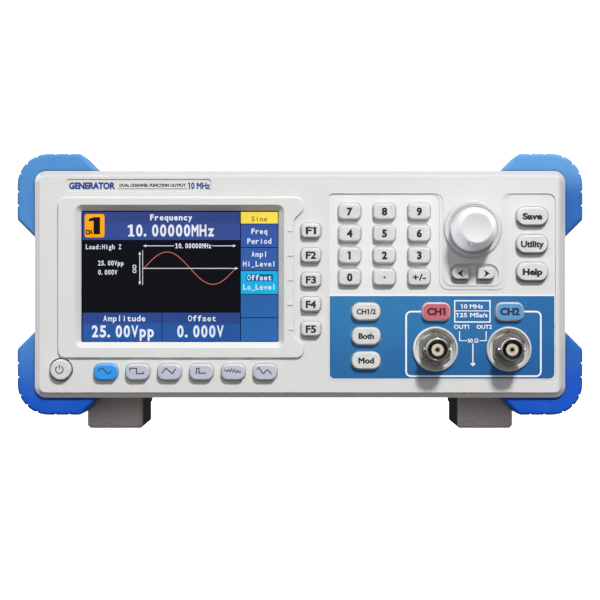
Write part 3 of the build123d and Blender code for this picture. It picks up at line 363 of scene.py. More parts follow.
def undersides(g, base):
    """Paints shade on the lower sides of the tall keys left and right of the number keys."""
    across = g.axis("X")
    right = g.ramp(across, PANEL_X + 56 * MM, PANEL_X + 58 * MM)
    left = g.ramp(across, PANEL_X + 12 * MM, PANEL_X + 10 * MM, 0.0, 0.4)
    # Painted shade on the sides that face down.
    low_side = g.ramp(g.facing("Z"), 0.10, 0.5, 0.0, 0.85)
    return g.mix(g.times(g.math("MAXIMUM", right, left), low_side), base, srgb(92, 90, 90))


def lit_key(name, face, side):
    """A translucent key lit from behind, brightest in the middle of its face."""
    low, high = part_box("wave_key_sine")
    middle = (low + high) / 2
    g = Graph(name)
    grain = g.noise(0.35, detail=3.0)
    across = g.math("ABSOLUTE", g.math("SUBTRACT", g.axis("X"), middle.x))
    glow = g.ramp(across, 6.0 * MM, 1.0 * MM, 0.25, 1.0)
    on_face = g.ramp(g.facing(), 0.15, 0.5)
    front = g.mix(g.ramp(grain, 0.3, 0.7, 0.0, 0.2), face, shade(face, 0.8))
    base = g.mix(on_face, side, front)
    g.set(Base_Color=base, Roughness=0.4, Emission_Color=face)
    g.set(Emission_Strength=g.times(g.times(glow, on_face), 0.16))
    g.relief(grain, 0.02, 0.2)
    return g.material


def overlay_film():
    """Printed polycarbonate film: satin blue with a slow change of depth and a fine grain."""
    g = Graph("overlay_film")
    fall = g.ramp(g.axis("Z"), film_low.z, film_high.z)
    sweep = g.ramp(g.axis("X"), film_low.x, film_high.x)
    grain = g.noise(0.3, detail=2.0)
    cloud = g.noise(14.0, detail=3.0)
    base = g.mix(fall, srgb(44, 107, 162), srgb(54, 128, 180))
    base = g.mix(g.times(sweep, 0.45), base, srgb(24, 84, 154))
    base = g.mix(g.ramp(cloud, 0.35, 0.7, 0.0, 0.15), base, srgb(30, 86, 150))
    base = g.mix(g.ramp(grain, 0.5, 0.8, 0.0, 0.15), base, srgb(66, 128, 190))
    g.set(Base_Color=base, Roughness=g.ramp(grain, 0.2, 0.8, 0.36, 0.46))
    g.set(Specular_IOR_Level=0.2)
    g.relief(grain, 0.012)
    return g.material


def ink(name, colour):
    """Screen-printed ink, with slightly uneven cover."""
    g = Graph(name)
    cover = g.noise(0.25, detail=3.0)
    g.set(Base_Color=g.mix(g.ramp(cover, 0.5, 0.8, 0.0, 0.3), colour, shade(colour, 1.35)))
    g.set(Roughness=g.ramp(cover, 0.2, 0.8, 0.59, 0.71))
    g.relief(cover, 0.004)
    return g.material


def lit_pixels(name, colour, lower=None):
    """Backlit display cells: a fine pixel grid under gloss glass, fading downwards to the lower
    colour or to a slightly darker one."""
    g = Graph(name)
    pixel = 0.17 * MM
    grid = g.add("ShaderNodeTexWave", wave_type="BANDS", bands_direction="X", wave_profile="SIN")
    g.put(grid.inputs["Vector"], g.place)
    grid.inputs["Scale"].default_value = 1.0 / (pixel * math.pi)
    rows = g.ramp(grid.outputs["Fac"], 0.0, 0.5, 0.93, 1.0)
    fade = g.ramp(g.axis("Z"), glass_low.z, glass_high.z)
    lift = g.ramp(g.noise(22.0, detail=1.0), 0.3, 0.7, 0.94, 1.05)
    tone = g.mix(fade, lower or shade(colour, 0.95), colour)
    g.set(Base_Color=(0.004, 0.004, 0.006, 1.0), Roughness=0.16, Emission_Color=tone)
    g.set(Specular_IOR_Level=0.06)
    g.set(Emission_Strength=g.times(rows, lift))
    g.relief(g.noise(0.5, detail=1.0), 0.001)
    return g.material


def display_glass():
    """Near-black polished glass with faint smears, and a tinned frame behind it."""
    g = Graph("display")
    smear = g.noise(6.0, detail=4.0, stretch=(1.0, 1.0, 0.4))
    behind = g.ramp(g.axis("Y"), GLASS_Y + 0.9 * MM, GLASS_Y + 1.0 * MM)
    brushed = g.noise(0.4, detail=2.0, stretch=(0.1, 1.0, 1.0))
    tin = g.mix(brushed, srgb(150, 152, 155), srgb(188, 190, 192))
    g.set(Base_Color=g.mix(behind, srgb(8, 9, 14), tin), Metallic=g.times(behind, 0.9))
    glossy = g.ramp(smear, 0.3, 0.8, 0.07, 0.14)
    g.set(Roughness=g.plus(glossy, g.times(behind, 0.25)))
    g.set(Specular_IOR_Level=0.04)
    g.relief(smear, 0.003)
    return g.material


def knob_plastic():
    """Near-white semi-gloss plastic with faint turning lines, a greyer face, darker towards its foot,
    painted shade on the sides that face up at rest, and a painted glow of light on those that face
    left and down.
    """
    g = Graph("knob_plastic")
    colour = srgb(253, 253, 253)
    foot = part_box("knob")[1].y
    rings = g.noise(0.25, detail=2.0, stretch=(0.03, 1.0, 0.03))
    grain = g.noise(0.5, detail=2.0)
    # Darker towards the knob's foot.
    darkening = g.ramp(g.axis("Y"), foot - 1.5 * MM, foot, 0.0, 0.25)
    on_face = g.ramp(g.facing(), 0.85, 0.98)
    # Painted shade on the sides that face up at rest.
    up_facing_painted_shade = g.ramp(g.facing("Z", 1.0), 0.15, 0.9)
    # Painted light: the sides that face left and down glow.
    painted_light_facing = g.plus(g.facing("X", -0.85), g.facing("Z", -0.5))
    glow = g.plus(g.ramp(painted_light_facing, 0.5, 1.0, 0.0, 0.30), 0.09)
    base = g.mix(g.ramp(g.noise(5.0, detail=3.0), 0.3, 0.7), shade(colour, 0.97), colour)
    base = g.mix(up_facing_painted_shade, base, srgb(206, 206, 207))
    base = g.mix(on_face, base, srgb(228, 228, 229))
    base = g.mix(darkening, base, srgb(196, 194, 190))
    g.set(Base_Color=base, Roughness=g.ramp(grain, 0.2, 0.8, 0.24, 0.34))
    off_face = g.ramp(on_face, 0.0, 1.0, 1.0, 0.0)
    # The painted light is given as emission on the sides off the face.
    g.set(Emission_Color=srgb(240, 240, 255), Emission_Strength=g.times(off_face, glow))
    g.set(Coat_Weight=0.15, Subsurface_Weight=0.05, Subsurface_Radius=(MM, MM, MM))
    g.relief(g.plus(rings, grain), 0.003, 0.5)
    return g.material


def foot_plastic():
    """Grey plastic with grit, its front painted lighter as lit, most towards the bottom, and its sides
    kept dark as painted shade.
    """
    def tint(g, base):
        # Painted light: the front face is lighter than the sides, most of all near the bottom.
        painted_light_low = g.ramp(g.axis("Z"), whole_low.z + 14 * MM, whole_low.z + 1 * MM, 0.25, 1.0)
        grit = g.ramp(g.noise(0.8, detail=4.0), 0.35, 0.75, 0.0, 0.35)
        front = g.mix(painted_light_low, srgb(172, 165, 161), srgb(244, 235, 230))
        front = g.mix(grit, front, srgb(128, 122, 119))
        return g.mix(g.ramp(g.facing(), 0.3, 0.8), base, front)
    return moulded("foot_plastic", srgb(64, 61, 62), roughness=0.5, depth_mm=0.04, mottle=0.08,
                   tint=tint)


WAVE_SIDE = srgb(222, 221, 221)
CHANNEL_RIM = srgb(222, 216, 216)

moulded("bezel_plastic", srgb(224, 224, 222), roughness=0.40, mottle=0.012, tint=panel_tint)
display_glass()
overlay_film()
moulded("mat_rubber", srgb(150, 152, 154), roughness=0.6)
circuit("circuit_board", srgb(22, 92, 52))
moulded("encoder_plastic", srgb(52, 52, 54))
turned_metal("shaft_steel", srgb(190, 190, 190), 0.25)
knob_plastic()
moulded("key_plastic", srgb(220, 220, 218), roughness=0.45, depth_mm=0.035, mottle=0.07,
        tint=undersides)
moulded("wave_key_plastic", WAVE_SIDE, depth_mm=0.03,
        tint=two_tone(srgb(194, 198, 214), WAVE_SIDE, edge=0.55))
lit_key("lit_key_plastic", srgb(40, 146, 226), srgb(128, 190, 232))
moulded("channel_1_plastic", CHANNEL_RIM, tint=two_tone(srgb(200, 102, 116), CHANNEL_RIM))
moulded("channel_2_plastic", CHANNEL_RIM, tint=two_tone(srgb(92, 152, 200), CHANNEL_RIM))
turned_metal("nickel_plate", srgb(205, 200, 192), 0.16)
moulded("white_dielectric", srgb(208, 201, 188), roughness=0.5, mottle=0.06)
turned_metal("gold_plate", srgb(232, 186, 104), 0.34)
powder_coat("case_paint", srgb(206, 207, 205))
powder_coat("rear_paint", srgb(196, 198, 198))
rubber("bumper_rubber", srgb(78, 140, 204))
foot_plastic()
moulded("leg_plastic", srgb(56, 56, 57), roughness=0.5, depth_mm=0.04)
circuit("supply_board", srgb(122, 96, 48))
moulded("black_plastic", srgb(30, 30, 31), roughness=0.45, depth_mm=0.03)
moulded("rocker_plastic", srgb(24, 24, 25), roughness=0.25, depth_mm=0.01)
turned_metal("screw_steel", srgb(176, 176, 172), 0.28, marks=0.15)
INK_BLACK = ink("ink_black", srgb(10, 10, 13))
INK_GREY = ink("ink_grey", srgb(44, 46, 62))
INK_WHITE = ink("ink_white", srgb(244, 246, 248))
INK_MAROON = ink("ink_maroon", srgb(64, 0, 24))
INK_NAVY = ink("ink_navy", srgb(0, 30, 74))


def dress_cad_nodes():
    """Gives every CAD node the material of its slot in the record."""
    for entry in frame["record"]["subparts"]:
        node = frame["nodes"][entry["node"]]
        node.data.materials.clear()
        node.data.materials.append(MATERIALS[entry["material_slot"]])


def frame_slot(node):
    """The record's material slot of a CAD node."""
    return next(e["material_slot"] for e in frame["record"]["subparts"] if e["node"] == node)


# ---- Printed marks --------------------------------------------------------------------------
def letters(words, bold):
    """A thin mesh of the words at type size 1, standing on the baseline and thickened by bold."""
    curve = bpy.data.curves.new("letters", "FONT")
    curve.body = words
    curve.extrude = 0.001
    curve.bevel_depth = bold
    curve.bevel_resolution = 0
    curve.resolution_u = 4
    holder = bpy.data.objects.new("letters", curve)
    bpy.context.scene.collection.objects.link(holder)
    bpy.context.view_layer.update()
    solid = holder.evaluated_get(bpy.context.evaluated_depsgraph_get())
    mesh = bpy.data.meshes.new_from_object(solid)
    bpy.data.objects.remove(holder)
    bpy.data.curves.remove(curve)
    return mesh


def reach(words, bold, axis):
    """How far the words reach along an axis, 0 across or 1 up, at type size 1."""
    mesh = letters(words, bold)
    furthest = max(v.co[axis] for v in mesh.vertices)
    bpy.data.meshes.remove(mesh)
    return furthest


CAP_HEIGHT = reach("H", 0.0, 1)          # of a capital at type size 1
STEM = 0.09                              # width of a figure one's stem at type size 1


def arc(x, z, radius, start, end, steps=8):
    """Points along an arc, with angles in degrees."""
    angles = [math.radians(start + (end - start) * i / steps) for i in range(steps + 1)]
    return [(x + radius * math.cos(a), z + radius * math.sin(a)) for a in angles]


def rounded_loop(x0, z0, x1, z1, radius, steps=6):
    """A rounded rectangle, counter-clockwise from the lower right corner."""
    return (arc(x1 - radius, z0 + radius, radius, -90, 0, steps)
            + arc(x1 - radius, z1 - radius, radius, 0, 90, steps)
            + arc(x0 + radius, z1 - radius, radius, 90, 180, steps)
            + arc(x0 + radius, z0 + radius, radius, 180, 270, steps))


def make_piece(name, shape, body, material):
    """Turns a bmesh into a piece that rides on a body."""
    bmesh.ops.recalc_face_normals(shape, faces=shape.faces)
    data = bpy.data.meshes.new(name)
    shape.to_mesh(data)
    shape.free()
    data.materials.append(material)
    piece = bpy.data.objects.new(name, data)
    bpy.context.scene.collection.objects.link(piece)
    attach(piece, body)


class Marks:
    """Thin marks on a flat surface, gathered into one piece. facing is -1 for a surface that
    faces -Y and 1 for one that faces +Y. Points are millimetres to the viewer's right and up
    from the origin."""

    def __init__(self, origin, facing=-1, thickness=PRINT_T):
        self.origin = Vector(origin)
        self.facing = facing
        self.thickness = thickness
        self.mesh = bmesh.new()

    def world(self, right, up, depth=0.0):
        """A point on the surface, or depth metres in front of it."""
        offset = Vector((-self.facing * right * MM, self.facing * depth, up * MM))
        return self.origin + offset

    def solid(self, loop):
        """A flat plate with the loop's outline."""
        front = [self.mesh.verts.new(self.world(x, z, self.thickness)) for x, z in loop]
        back = [self.mesh.verts.new(self.world(x, z)) for x, z in loop]
        self.mesh.faces.new(front)
        self.mesh.faces.new(back[::-1])
        for i in range(len(loop)):
            j = (i + 1) % len(loop)
            self.mesh.faces.new((front[j], front[i], back[i], back[j]))

    def line(self, points, width, closed=False):
        """A line of even width through the points, with mitred corners, as one closed strip."""
        count = len(points)
        rails = []
        for i, (x, z) in enumerate(points):
            before = points[i - 1] if i or closed else None
            after = points[(i + 1) % count] if i < count - 1 or closed else None
            ways = [Vector((x - before[0], z - before[1])).normalized()] if before else []
            ways += [Vector((after[0] - x, after[1] - z)).normalized()] if after else []
            along = sum(ways, Vector((0, 0))).normalized()
            stretch = min(2.0, 1.0 / max(0.3, along.dot(ways[0])))
            side = Vector((-along.y, along.x)) * width / 2 * stretch
            upper, lower = (x + side.x, z + side.y), (x - side.x, z - side.y)
            corners = ((upper, self.thickness), (lower, self.thickness), (lower, 0.0), (upper, 0.0))
            rails.append([self.mesh.verts.new(self.world(*flat, depth)) for flat, depth in corners])
        for i in range(count if closed else count - 1):
            here, there = rails[i], rails[(i + 1) % count]
            for j in range(4):
                k = (j + 1) % 4
                self.mesh.faces.new((here[j], there[j], there[k], here[k]))
        if not closed:
            self.mesh.faces.new(rails[0])
            self.mesh.faces.new(rails[-1][::-1])

    def text(self, words, x, z, cap, width=None, bold=0.0, foot=False):
        """Words centred on a point, with capitals cap mm high, drawn out to width mm. Each figure
        one gets a flag, and a foot if asked."""
        mesh = letters(words, bold)
        size = cap / CAP_HEIGHT
        xs = [v.co.x for v in mesh.vertices]
        depths = [v.co.z for v in mesh.vertices]
        spread = size if width is None else width / (max(xs) - min(xs))
        middle = (max(xs) + min(xs)) / 2
        thin = self.thickness / (max(depths) - min(depths))

        def flat(across, up):
            return ((across - middle) * spread + x, up * size + z - cap / 2)

        verts = []
        for v in mesh.vertices:
            depth = (v.co.z - min(depths)) * thin
            verts.append(self.mesh.verts.new(self.world(*flat(v.co.x, v.co.y), depth)))
        for face in mesh.polygons:
            corners = [verts[i] for i in face.vertices]
            if len(set(corners)) > 2:
                self.mesh.faces.new(corners)
        bpy.data.meshes.remove(mesh)
        top = CAP_HEIGHT + bold
        for i, letter in enumerate(words):
            if letter != "1":
                continue
            right = reach(words[:i + 1], bold, 0)
            left = right - STEM - 2 * bold
            shapes = [((left - 0.15, top - 0.20), (left + 0.02, top - 0.16), (left + 0.02, top),
                       (left - 0.15, top - 0.08))]
            if foot:
                shapes.append(((left - 0.12, -bold), (right + 0.12, -bold), (right + 0.12, 0.07),
                               (left - 0.12, 0.07)))
            for shape in shapes:
                self.solid([flat(*corner) for corner in shape])

    def spaced(self, words, x, z, cap, pitch, bold=0.02):
        """Evenly spaced characters, as a character display draws them."""
        start = x - (len(words) - 1) * pitch / 2
        for i, letter in enumerate(words):
            if letter == " ":
                continue
            if letter in ".:1iIl":
                width = None
            elif letter in "mMwWHNQOGDUV":
                width = pitch * 0.86
            else:
                width = pitch * 0.86 * 0.92
            shift = -0.28 * pitch if letter == "." else 0.0
            self.text(letter, start + i * pitch + shift, z, cap, width, bold, foot=True)

    def finish(self, name, body, material, slot):
        """Makes the piece and sets it riding on its body."""
        bmesh.ops.remove_doubles(self.mesh, verts=self.mesh.verts, dist=1e-7)
        make_piece(name, self.mesh, body, material)


# ---- Key legends ----------------------------------------------------------------------------
def key_marks(node):
    """Marks measured from the middle of a key's face."""
    low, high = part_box(node)
    return Marks(((low.x + high.x) / 2, low.y, (low.z + high.z) / 2))


def finish_legend(marks, node, colour):
    """Makes the marks the legend of a key, and lets them ride on it."""
    marks.finish("legend_" + node, node, colour, frame_slot(node))


def word_legends():
    """Words and numbers on the keys, as (node, words, capital height, width, weight, ink)."""
    rows = [(f"key_{n}", str(n), 2.85, None, 0.055, INK_BLACK) for n in range(10)]
    rows += [(f"key_f{n}", f"F{n}", 2.75, 4.3, 0.04, INK_BLACK) for n in range(1, 6)]
    rows += [("key_sign", "+/-", 2.5, 5.6, 0.03, INK_BLACK),
             ("key_save", "Save", 2.4, 8.2, 0.052, INK_BLACK),
             ("key_utility", "Utility", 2.4, 9.6, 0.046, INK_BLACK),
             ("key_help", "Help", 2.4, 8.1, 0.052, INK_BLACK),
             ("key_channel", "CH1/2", 1.95, 8.0, 0.04, INK_BLACK),
             ("key_both", "Both", 2.15, 6.4, 0.045, INK_BLACK),
             ("key_mod", "Mod", 2.2, 6.5, 0.045, INK_BLACK),
             ("key_ch1", "CH1", 2.7, 7.7, 0.056, INK_MAROON),
             ("key_ch2", "CH2", 2.7, 8.1, 0.056, INK_NAVY)]
    for node, words, cap, width, weight, colour in rows:
        marks = key_marks(node)
        marks.text(words, 0, 0, cap, width, weight)
        finish_legend(marks, node, colour)


def point_legend():
    """The dot on the decimal point key."""
    marks = key_marks("key_point")
    marks.solid(arc(0, 0, 0.42, 0, 345, 23))
    finish_legend(marks, "key_point", INK_BLACK)


def arrow_legends():
    """Notched arrowheads on the two arrow keys."""
    for node, way in (("key_left", -1), ("key_right", 1)):
        marks = key_marks(node)
        chevron = [(-1.25 * way, 1.65), (-0.35 * way, 0.0), (-1.25 * way, -1.65), (1.35 * way, 0.0)]
        marks.solid(chevron[::way])
        finish_legend(marks, node, INK_BLACK)


def wave_points(kind):
    """The waveform symbol on a key, as points in millimetres."""
    if kind == "sine":
        return [(-2.6 + 5.2 * i / 24, 1.15 * math.sin(2 * math.pi * i / 24)) for i in range(25)]
    if kind == "square":
        return [(-2.8, 0.0), (-2.8, 1.1), (-0.1, 1.1), (-0.1, -1.1), (2.7, -1.1), (2.7, -0.2)]
    if kind == "ramp":
        return [(-2.9, -1.1), (-1.2, 1.1), (1.6, -1.1), (2.9, 1.0)]
    if kind == "pulse":
        return [(-2.2, -0.9), (-1.6, -0.9), (-1.6, 1.1), (-0.6, 1.1), (-0.6, -0.9), (2.2, -0.9)]
    if kind == "noise":
        heights = (0.0, 0.4, -0.3, 0.5, -0.4, 0.9, -0.6, 0.6, -0.8, 0.2, -0.7, -0.1)
        return [(-3.5 + 7.0 * i / 11, h) for i, h in enumerate(heights)]
    points = []
    for i in range(33):
        along = i / 32
        swing = 1.2 * math.cos(3.4 * math.pi * (along - 0.13)) * (1 - 0.55 * along)
        points.append((-3.1 + 6.2 * along, swing - 0.9 * along + 0.3))
    return points


def wave_legends():
    """Waveform symbols, a little up and left of the middle of each wave key."""
    for kind in ("sine", "square", "ramp", "pulse", "noise", "arb"):
        node = "wave_key_" + kind
        marks = key_marks(node)
        width = 0.36 if kind == "noise" else 0.44
        marks.line([(x - 0.25, z + 0.55) for x, z in wave_points(kind)], width)
        finish_legend(marks, node, INK_GREY)


def power_legend():
    """A broken ring with a bar in its gap."""
    marks = key_marks("power_button")
    marks.line(arc(-0.4, 0.1, 1.55, 125, 415, 24), 0.42)
    marks.line([(-0.4, 0.5), (-0.4, 2.1)], 0.42)
    finish_legend(marks, "power_button", INK_GREY)


# ---- Print on the panel ---------------------------------------------------------------------
def panel_mark(y):
    """Marks measured from the middle of the panel, on a surface at depth y."""
    return Marks((PANEL_X, y, PANEL_Z))


def nameplate():
    """Plain words on the strip above the display."""
    marks = panel_mark(NAMEPLATE_Y)
    marks.text("GENERATOR", -86.0, 40.75, 2.45, 19.2, bold=0.06)
    marks.text("10 MHz", -41.6, 40.75, 2.45, 8.8, bold=0.045)
    marks.finish("nameplate_words", "chassis", ink("ink_plate", srgb(16, 62, 136)), "bezel_plastic")
    small = panel_mark(NAMEPLATE_Y)
    small.text("DUAL CHANNEL FUNCTION OUTPUT", -61.0, 40.95, 1.15, 27.4, bold=0.05)
    small.line([(-75.4, 39.5), (-46.6, 39.5)], 0.2)
    small.finish("nameplate_small_words", "chassis", INK_BLACK, "bezel_plastic")


def overlay_print():
    """White lines and words on the blue film."""
    left = (film_low.x - PANEL_X) / MM
    right = (film_high.x - PANEL_X) / MM
    low = (film_low.z - PANEL_Z) / MM
    high = (film_high.z - PANEL_Z) / MM
    marks = panel_mark(FILM_Y)
    edge, corner = 0.18, 2.5
    marks.line([(left + edge, high - 0.05)]
               + arc(left + corner, low + corner, corner - edge, 180, 270)
               + arc(right - corner, low + corner, corner - edge, 270, 360)
               + [(right - edge, high - 0.05)], 2 * edge)
    key_z = -11.3                        # the middle of the channel keys
    frame_left, frame_right, frame_low = 43.9, 99.6, -38.0
    marks.line([(50.3, key_z)] + arc(frame_left + 2, key_z - 2, 2, 90, 180)
               + arc(frame_left + 2, frame_low + 2, 2, 180, 270)
               + arc(frame_right - 2, frame_low + 2, 2, 270, 360)
               + arc(frame_right - 2, key_z - 2, 2, 0, 90) + [(92.8, key_z)], 0.7)
    box_left, box_right, box_low, box_high = 64.0, 78.6, -15.6, -6.8
    marks.line([(box_left, box_high), (box_left, box_low), (box_right, box_low),
                (box_right, box_high)], 0.5, closed=True)
    marks.line([(box_left, -11.0), (box_right, -11.0)], 0.35)
    middle = 71.5
    for words, x, z, cap, width, bold in (("10 MHz", 71.3, -9.15, 1.7, 8.9, 0.018),
                                          ("125 MSa/s", 71.3, -12.75, 1.7, 12.6, 0.018),
                                          ("OUT1", 66.8, -17.6, 1.55, 6.3, 0.02),
                                          ("OUT2", 76.2, -17.6, 1.55, 6.3, 0.02),
                                          ("50 Ω", middle, -23.3, 1.55, 4.4, 0.02)):
        marks.text(words, x, z, cap, width, bold)
    marks.line([(66.0, -19.4), (66.0, -23.3), (68.9, -23.3)], 0.35)
    marks.line([(77.0, -19.4), (77.0, -23.3), (74.2, -23.3)], 0.35)
    marks.line([(middle, -24.5), (middle, -32.8)], 0.45)
    marks.solid([(middle, -34.0), (middle + 1.2, -32.6), (middle - 1.2, -32.6)])
    marks.finish("overlay_print", "chassis", INK_WHITE, "overlay_film")
    strip = panel_mark(FIELD_Y)
    strip.line([(left + 0.1, high + 0.4), (right - 0.1, high + 0.4)], 0.7)
    strip.finish("overlay_top_edge", "chassis", INK_WHITE, "bezel_plastic")


def rear_print():
    """Plain words on the rear panel, seen from behind."""
    marks = Marks((0.0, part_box("rear_panel")[1].y, 0.0), facing=1)
    for x, words in ((-8.0, "SYNC OUT"), (22.0, "EXT IN")):
        marks.text(words, x, 57.0, 2.2, bold=0.01)
    inlet_low, inlet_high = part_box("mains_inlet")
    inlet_x = -(inlet_low.x + inlet_high.x) / 2 / MM
    marks.text("AC IN", inlet_x, inlet_low.z / MM - 5.0, 2.4, bold=0.01)
    marks.line(rounded_loop(-17.5, 34.0, 31.5, 61.5, 2.0), 0.35, closed=True)
    marks.finish("rear_words", "chassis", INK_BLACK, "rear_paint")


# ---- What the display shows -----------------------------------------------------------------
WINDOW_LEFT = PANEL_X - 90.6 * MM        # the window's top left corner
WINDOW_TOP = PANEL_Z + 30.5 * MM

# Millimetres right of and below that corner.
SCREEN_LEFT = 0.5
SCREEN_RIGHT = 81.4
SCREEN_TOP = 0.5
SCREEN_BOTTOM = 54.1
COLUMN_LEFT = 66.1
COLUMN_MIDDLE = (COLUMN_LEFT + SCREEN_RIGHT) / 2
FIELD_RIGHT = COLUMN_LEFT - 0.35
HEADER_BOTTOM = 12.1
FOOTER_TOP = 42.3
FOOTER_SPLIT = 33.4
HALF_GAP = 0.15
SOFT_CELLS = ((0.5, 5.3), (5.6, 15.1), (15.4, 24.7), (25.0, 34.5), (34.8, 44.2), (44.5, 54.1))
TITLE, CHOSEN = 0, 3                     # the soft cells in other colours

# Capital height and distance between characters, in millimetres.
READING = (4.5, 3.3)
LABEL = (2.3, 1.98)
SOFT = (2.1, 1.72)
SMALL = (1.9, 1.36)


def screen_marks(layer):
    """Marks measured right of and up from the window's top left corner, on a layer of cells."""
    return Marks((WINDOW_LEFT, GLASS_Y - layer * SCREEN_T, WINDOW_TOP), thickness=SCREEN_T)


def cell(marks, x0, top, x1, bottom, radius=0.0):
    """A filled cell between two opposite corners, measured down from the top."""
    if radius:
        marks.solid(rounded_loop(x0, -bottom, x1, -top, radius))
    else:
        marks.solid([(x0, -bottom), (x1, -bottom), (x1, -top), (x0, -top)])


def finish_lit(marks, name, *colours):
    """Makes the marks a lit piece, in one colour or fading to a second one below."""
    marks.finish(name, "chassis", lit_pixels("lit_" + name, *colours), "display")


def lit_cells(name, layer, cells, *colours):
    """A lit piece of cells, each as left, top, right, bottom and perhaps a corner radius."""
    marks = screen_marks(layer)
    for corners in cells:
        cell(marks, *corners)
    finish_lit(marks, name, *colours)


def screen_fields():
    """The coloured fields behind the words."""
    left, right = FOOTER_SPLIT - HALF_GAP, FOOTER_SPLIT + HALF_GAP
    lit_cells("screen_plot", 0, [(SCREEN_LEFT, HEADER_BOTTOM, COLUMN_LEFT - 0.3, FOOTER_TOP)],
              srgb(4, 6, 12))
    lit_cells("screen_bars", 0, [(SCREEN_LEFT, SCREEN_TOP, FIELD_RIGHT, HEADER_BOTTOM),
                                 (SCREEN_LEFT, FOOTER_TOP, left, SCREEN_BOTTOM),
                                 (right, FOOTER_TOP, FIELD_RIGHT, SCREEN_BOTTOM)],
              srgb(58, 74, 142), srgb(40, 88, 160))
    top, bottom = FOOTER_TOP + 0.1, FOOTER_TOP + 4.4
    lit_cells("screen_label_bars", 1, [(SCREEN_LEFT, top, left, bottom),
                                       (right, top, FIELD_RIGHT, bottom),
                                       (SCREEN_LEFT, SCREEN_TOP, FIELD_RIGHT, SCREEN_TOP + 4.6)],
              srgb(54, 68, 132), srgb(42, 72, 140))
    column = [(COLUMN_LEFT, top, SCREEN_RIGHT, bottom) for top, bottom in SOFT_CELLS]
    plain = [corners for i, corners in enumerate(column) if i not in (TITLE, CHOSEN)]
    lit_cells("screen_soft_cells", 0, plain, srgb(58, 80, 160), srgb(44, 108, 176))
    lit_cells("screen_chosen_cell", 0, [column[CHOSEN]], srgb(20, 184, 238))
    lit_cells("screen_title_cell", 0, [column[TITLE]], srgb(255, 226, 82))
    lit_cells("screen_badge", 2, [(1.4, 1.4, 9.6, 11.1, 1.0)], srgb(255, 176, 18), srgb(255, 140, 10))
    lit_cells("screen_chosen_word", 1, [(68.4, 26.3, 79.4, 29.2)], srgb(22, 92, 158))


def arrowhead(marks, x, down, way_x, way_z):
    """A filled arrowhead with its tip at the point."""
    size = 0.9
    along = Vector((way_x, way_z))
    side = Vector((-along.y, along.x))
    tip = Vector((x, -down))
    base = tip - along * size * 1.4
    marks.solid([tuple(tip), tuple(base + side * size * 0.6), tuple(base - side * size * 0.6)])


def screen_words():
    """White words, readings and axes on the display."""
    marks = screen_marks(2)
    rows = [("Frequency", 37.2, 2.75, LABEL, 0.03), ("10.00000MHz", 37.2, 8.2, READING, 0.032),
            ("Load:High Z", 9.2, 14.95, SMALL, 0.022), ("25.00Vpp", 12.2, 21.7, SMALL, 0.022),
            ("0.000V", 10.9, 25.5, SMALL, 0.022),
            ("Amplitude", 17.8, 44.6, LABEL, 0.018), ("25.00Vpp", 17.2, 50.0, READING, 0.032),
            ("Offset", 50.0, 44.6, LABEL, 0.018), ("0.000V", 49.3, 50.0, READING, 0.032)]
    rows += [(words, COLUMN_MIDDLE, down, SOFT, 0.02) for words, down in
             (("Freq", 8.5), ("Period", 12.6), ("Ampl", 18.0), ("Hi_Level", 22.0), ("Lo_Level", 31.6))]
    for words, x, down, (cap, pitch), bold in rows:
        marks.spaced(words, x, -down, cap, pitch, bold)
    axis_left, axis_right, axis_down = 25.4, 65.0, 23.9
    marks.line([(axis_left, -axis_down), (axis_right - 1.0, -axis_down)], 0.28)
    arrowhead(marks, axis_right, axis_down, 1, 0)
    marks.line([(axis_left, -16.4), (axis_left, -30.8)], 0.22)
    height_x = 24.2                      # the arrow that spans the wave's height
    marks.line([(height_x, -17.2), (height_x, -30.4)], 0.28)
    arrowhead(marks, height_x, 16.9, 0, 1)
    arrowhead(marks, height_x, 30.7, 0, -1)
    span = 14.55                         # the arrow that spans the wave's length
    marks.line([(26.4, -span), (38.4, -span)], 0.28)
    marks.line([(54.3, -span), (63.2, -span)], 0.28)
    arrowhead(marks, 25.6, span, -1, 0)
    arrowhead(marks, 64.1, span, 1, 0)
    marks.spaced("10.00000MHz", 46.4, -span, SMALL[0], 1.38, 0.022)
    for down in (23.2, 25.0):
        marks.line(rounded_loop(21.4, -down - 0.6, 22.6, -down + 0.6, 0.3, 3), 0.3, closed=True)
    finish_lit(marks, "screen_words", srgb(236, 240, 250))


def screen_cell_words():
    """Words on the badge, the title cell and the chosen cell."""
    marks = screen_marks(3)
    marks.text("1", 6.4, -6.2, 6.2, 2.7, bold=0.05)
    marks.text("CH", 3.1, -8.9, 1.7, 2.8, bold=0.06)
    finish_lit(marks, "screen_badge_words", srgb(22, 12, 4))
    title = screen_marks(1)
    title.spaced("Sine", COLUMN_MIDDLE, -3.4, 2.0, SOFT[1])
    finish_lit(title, "screen_title_words", srgb(140, 120, 36))
    chosen = screen_marks(2)
    chosen.spaced("Offset", COLUMN_MIDDLE, -27.7, *SOFT, bold=0.03)
    finish_lit(chosen, "screen_chosen_letters", srgb(220, 236, 250))


def screen_trace():
    """One cycle of the output waveform."""
    marks = screen_marks(2)
    left, right, middle, height, count = 26.0, 64.0, 23.8, 6.7, 60
    points = [(left + (right - left) * i / count, height * math.sin(2 * math.pi * i / count) - middle)
              for i in range(count + 1)]
    marks.line(points, 0.25)
    finish_lit(marks, "screen_trace", srgb(236, 118, 106))


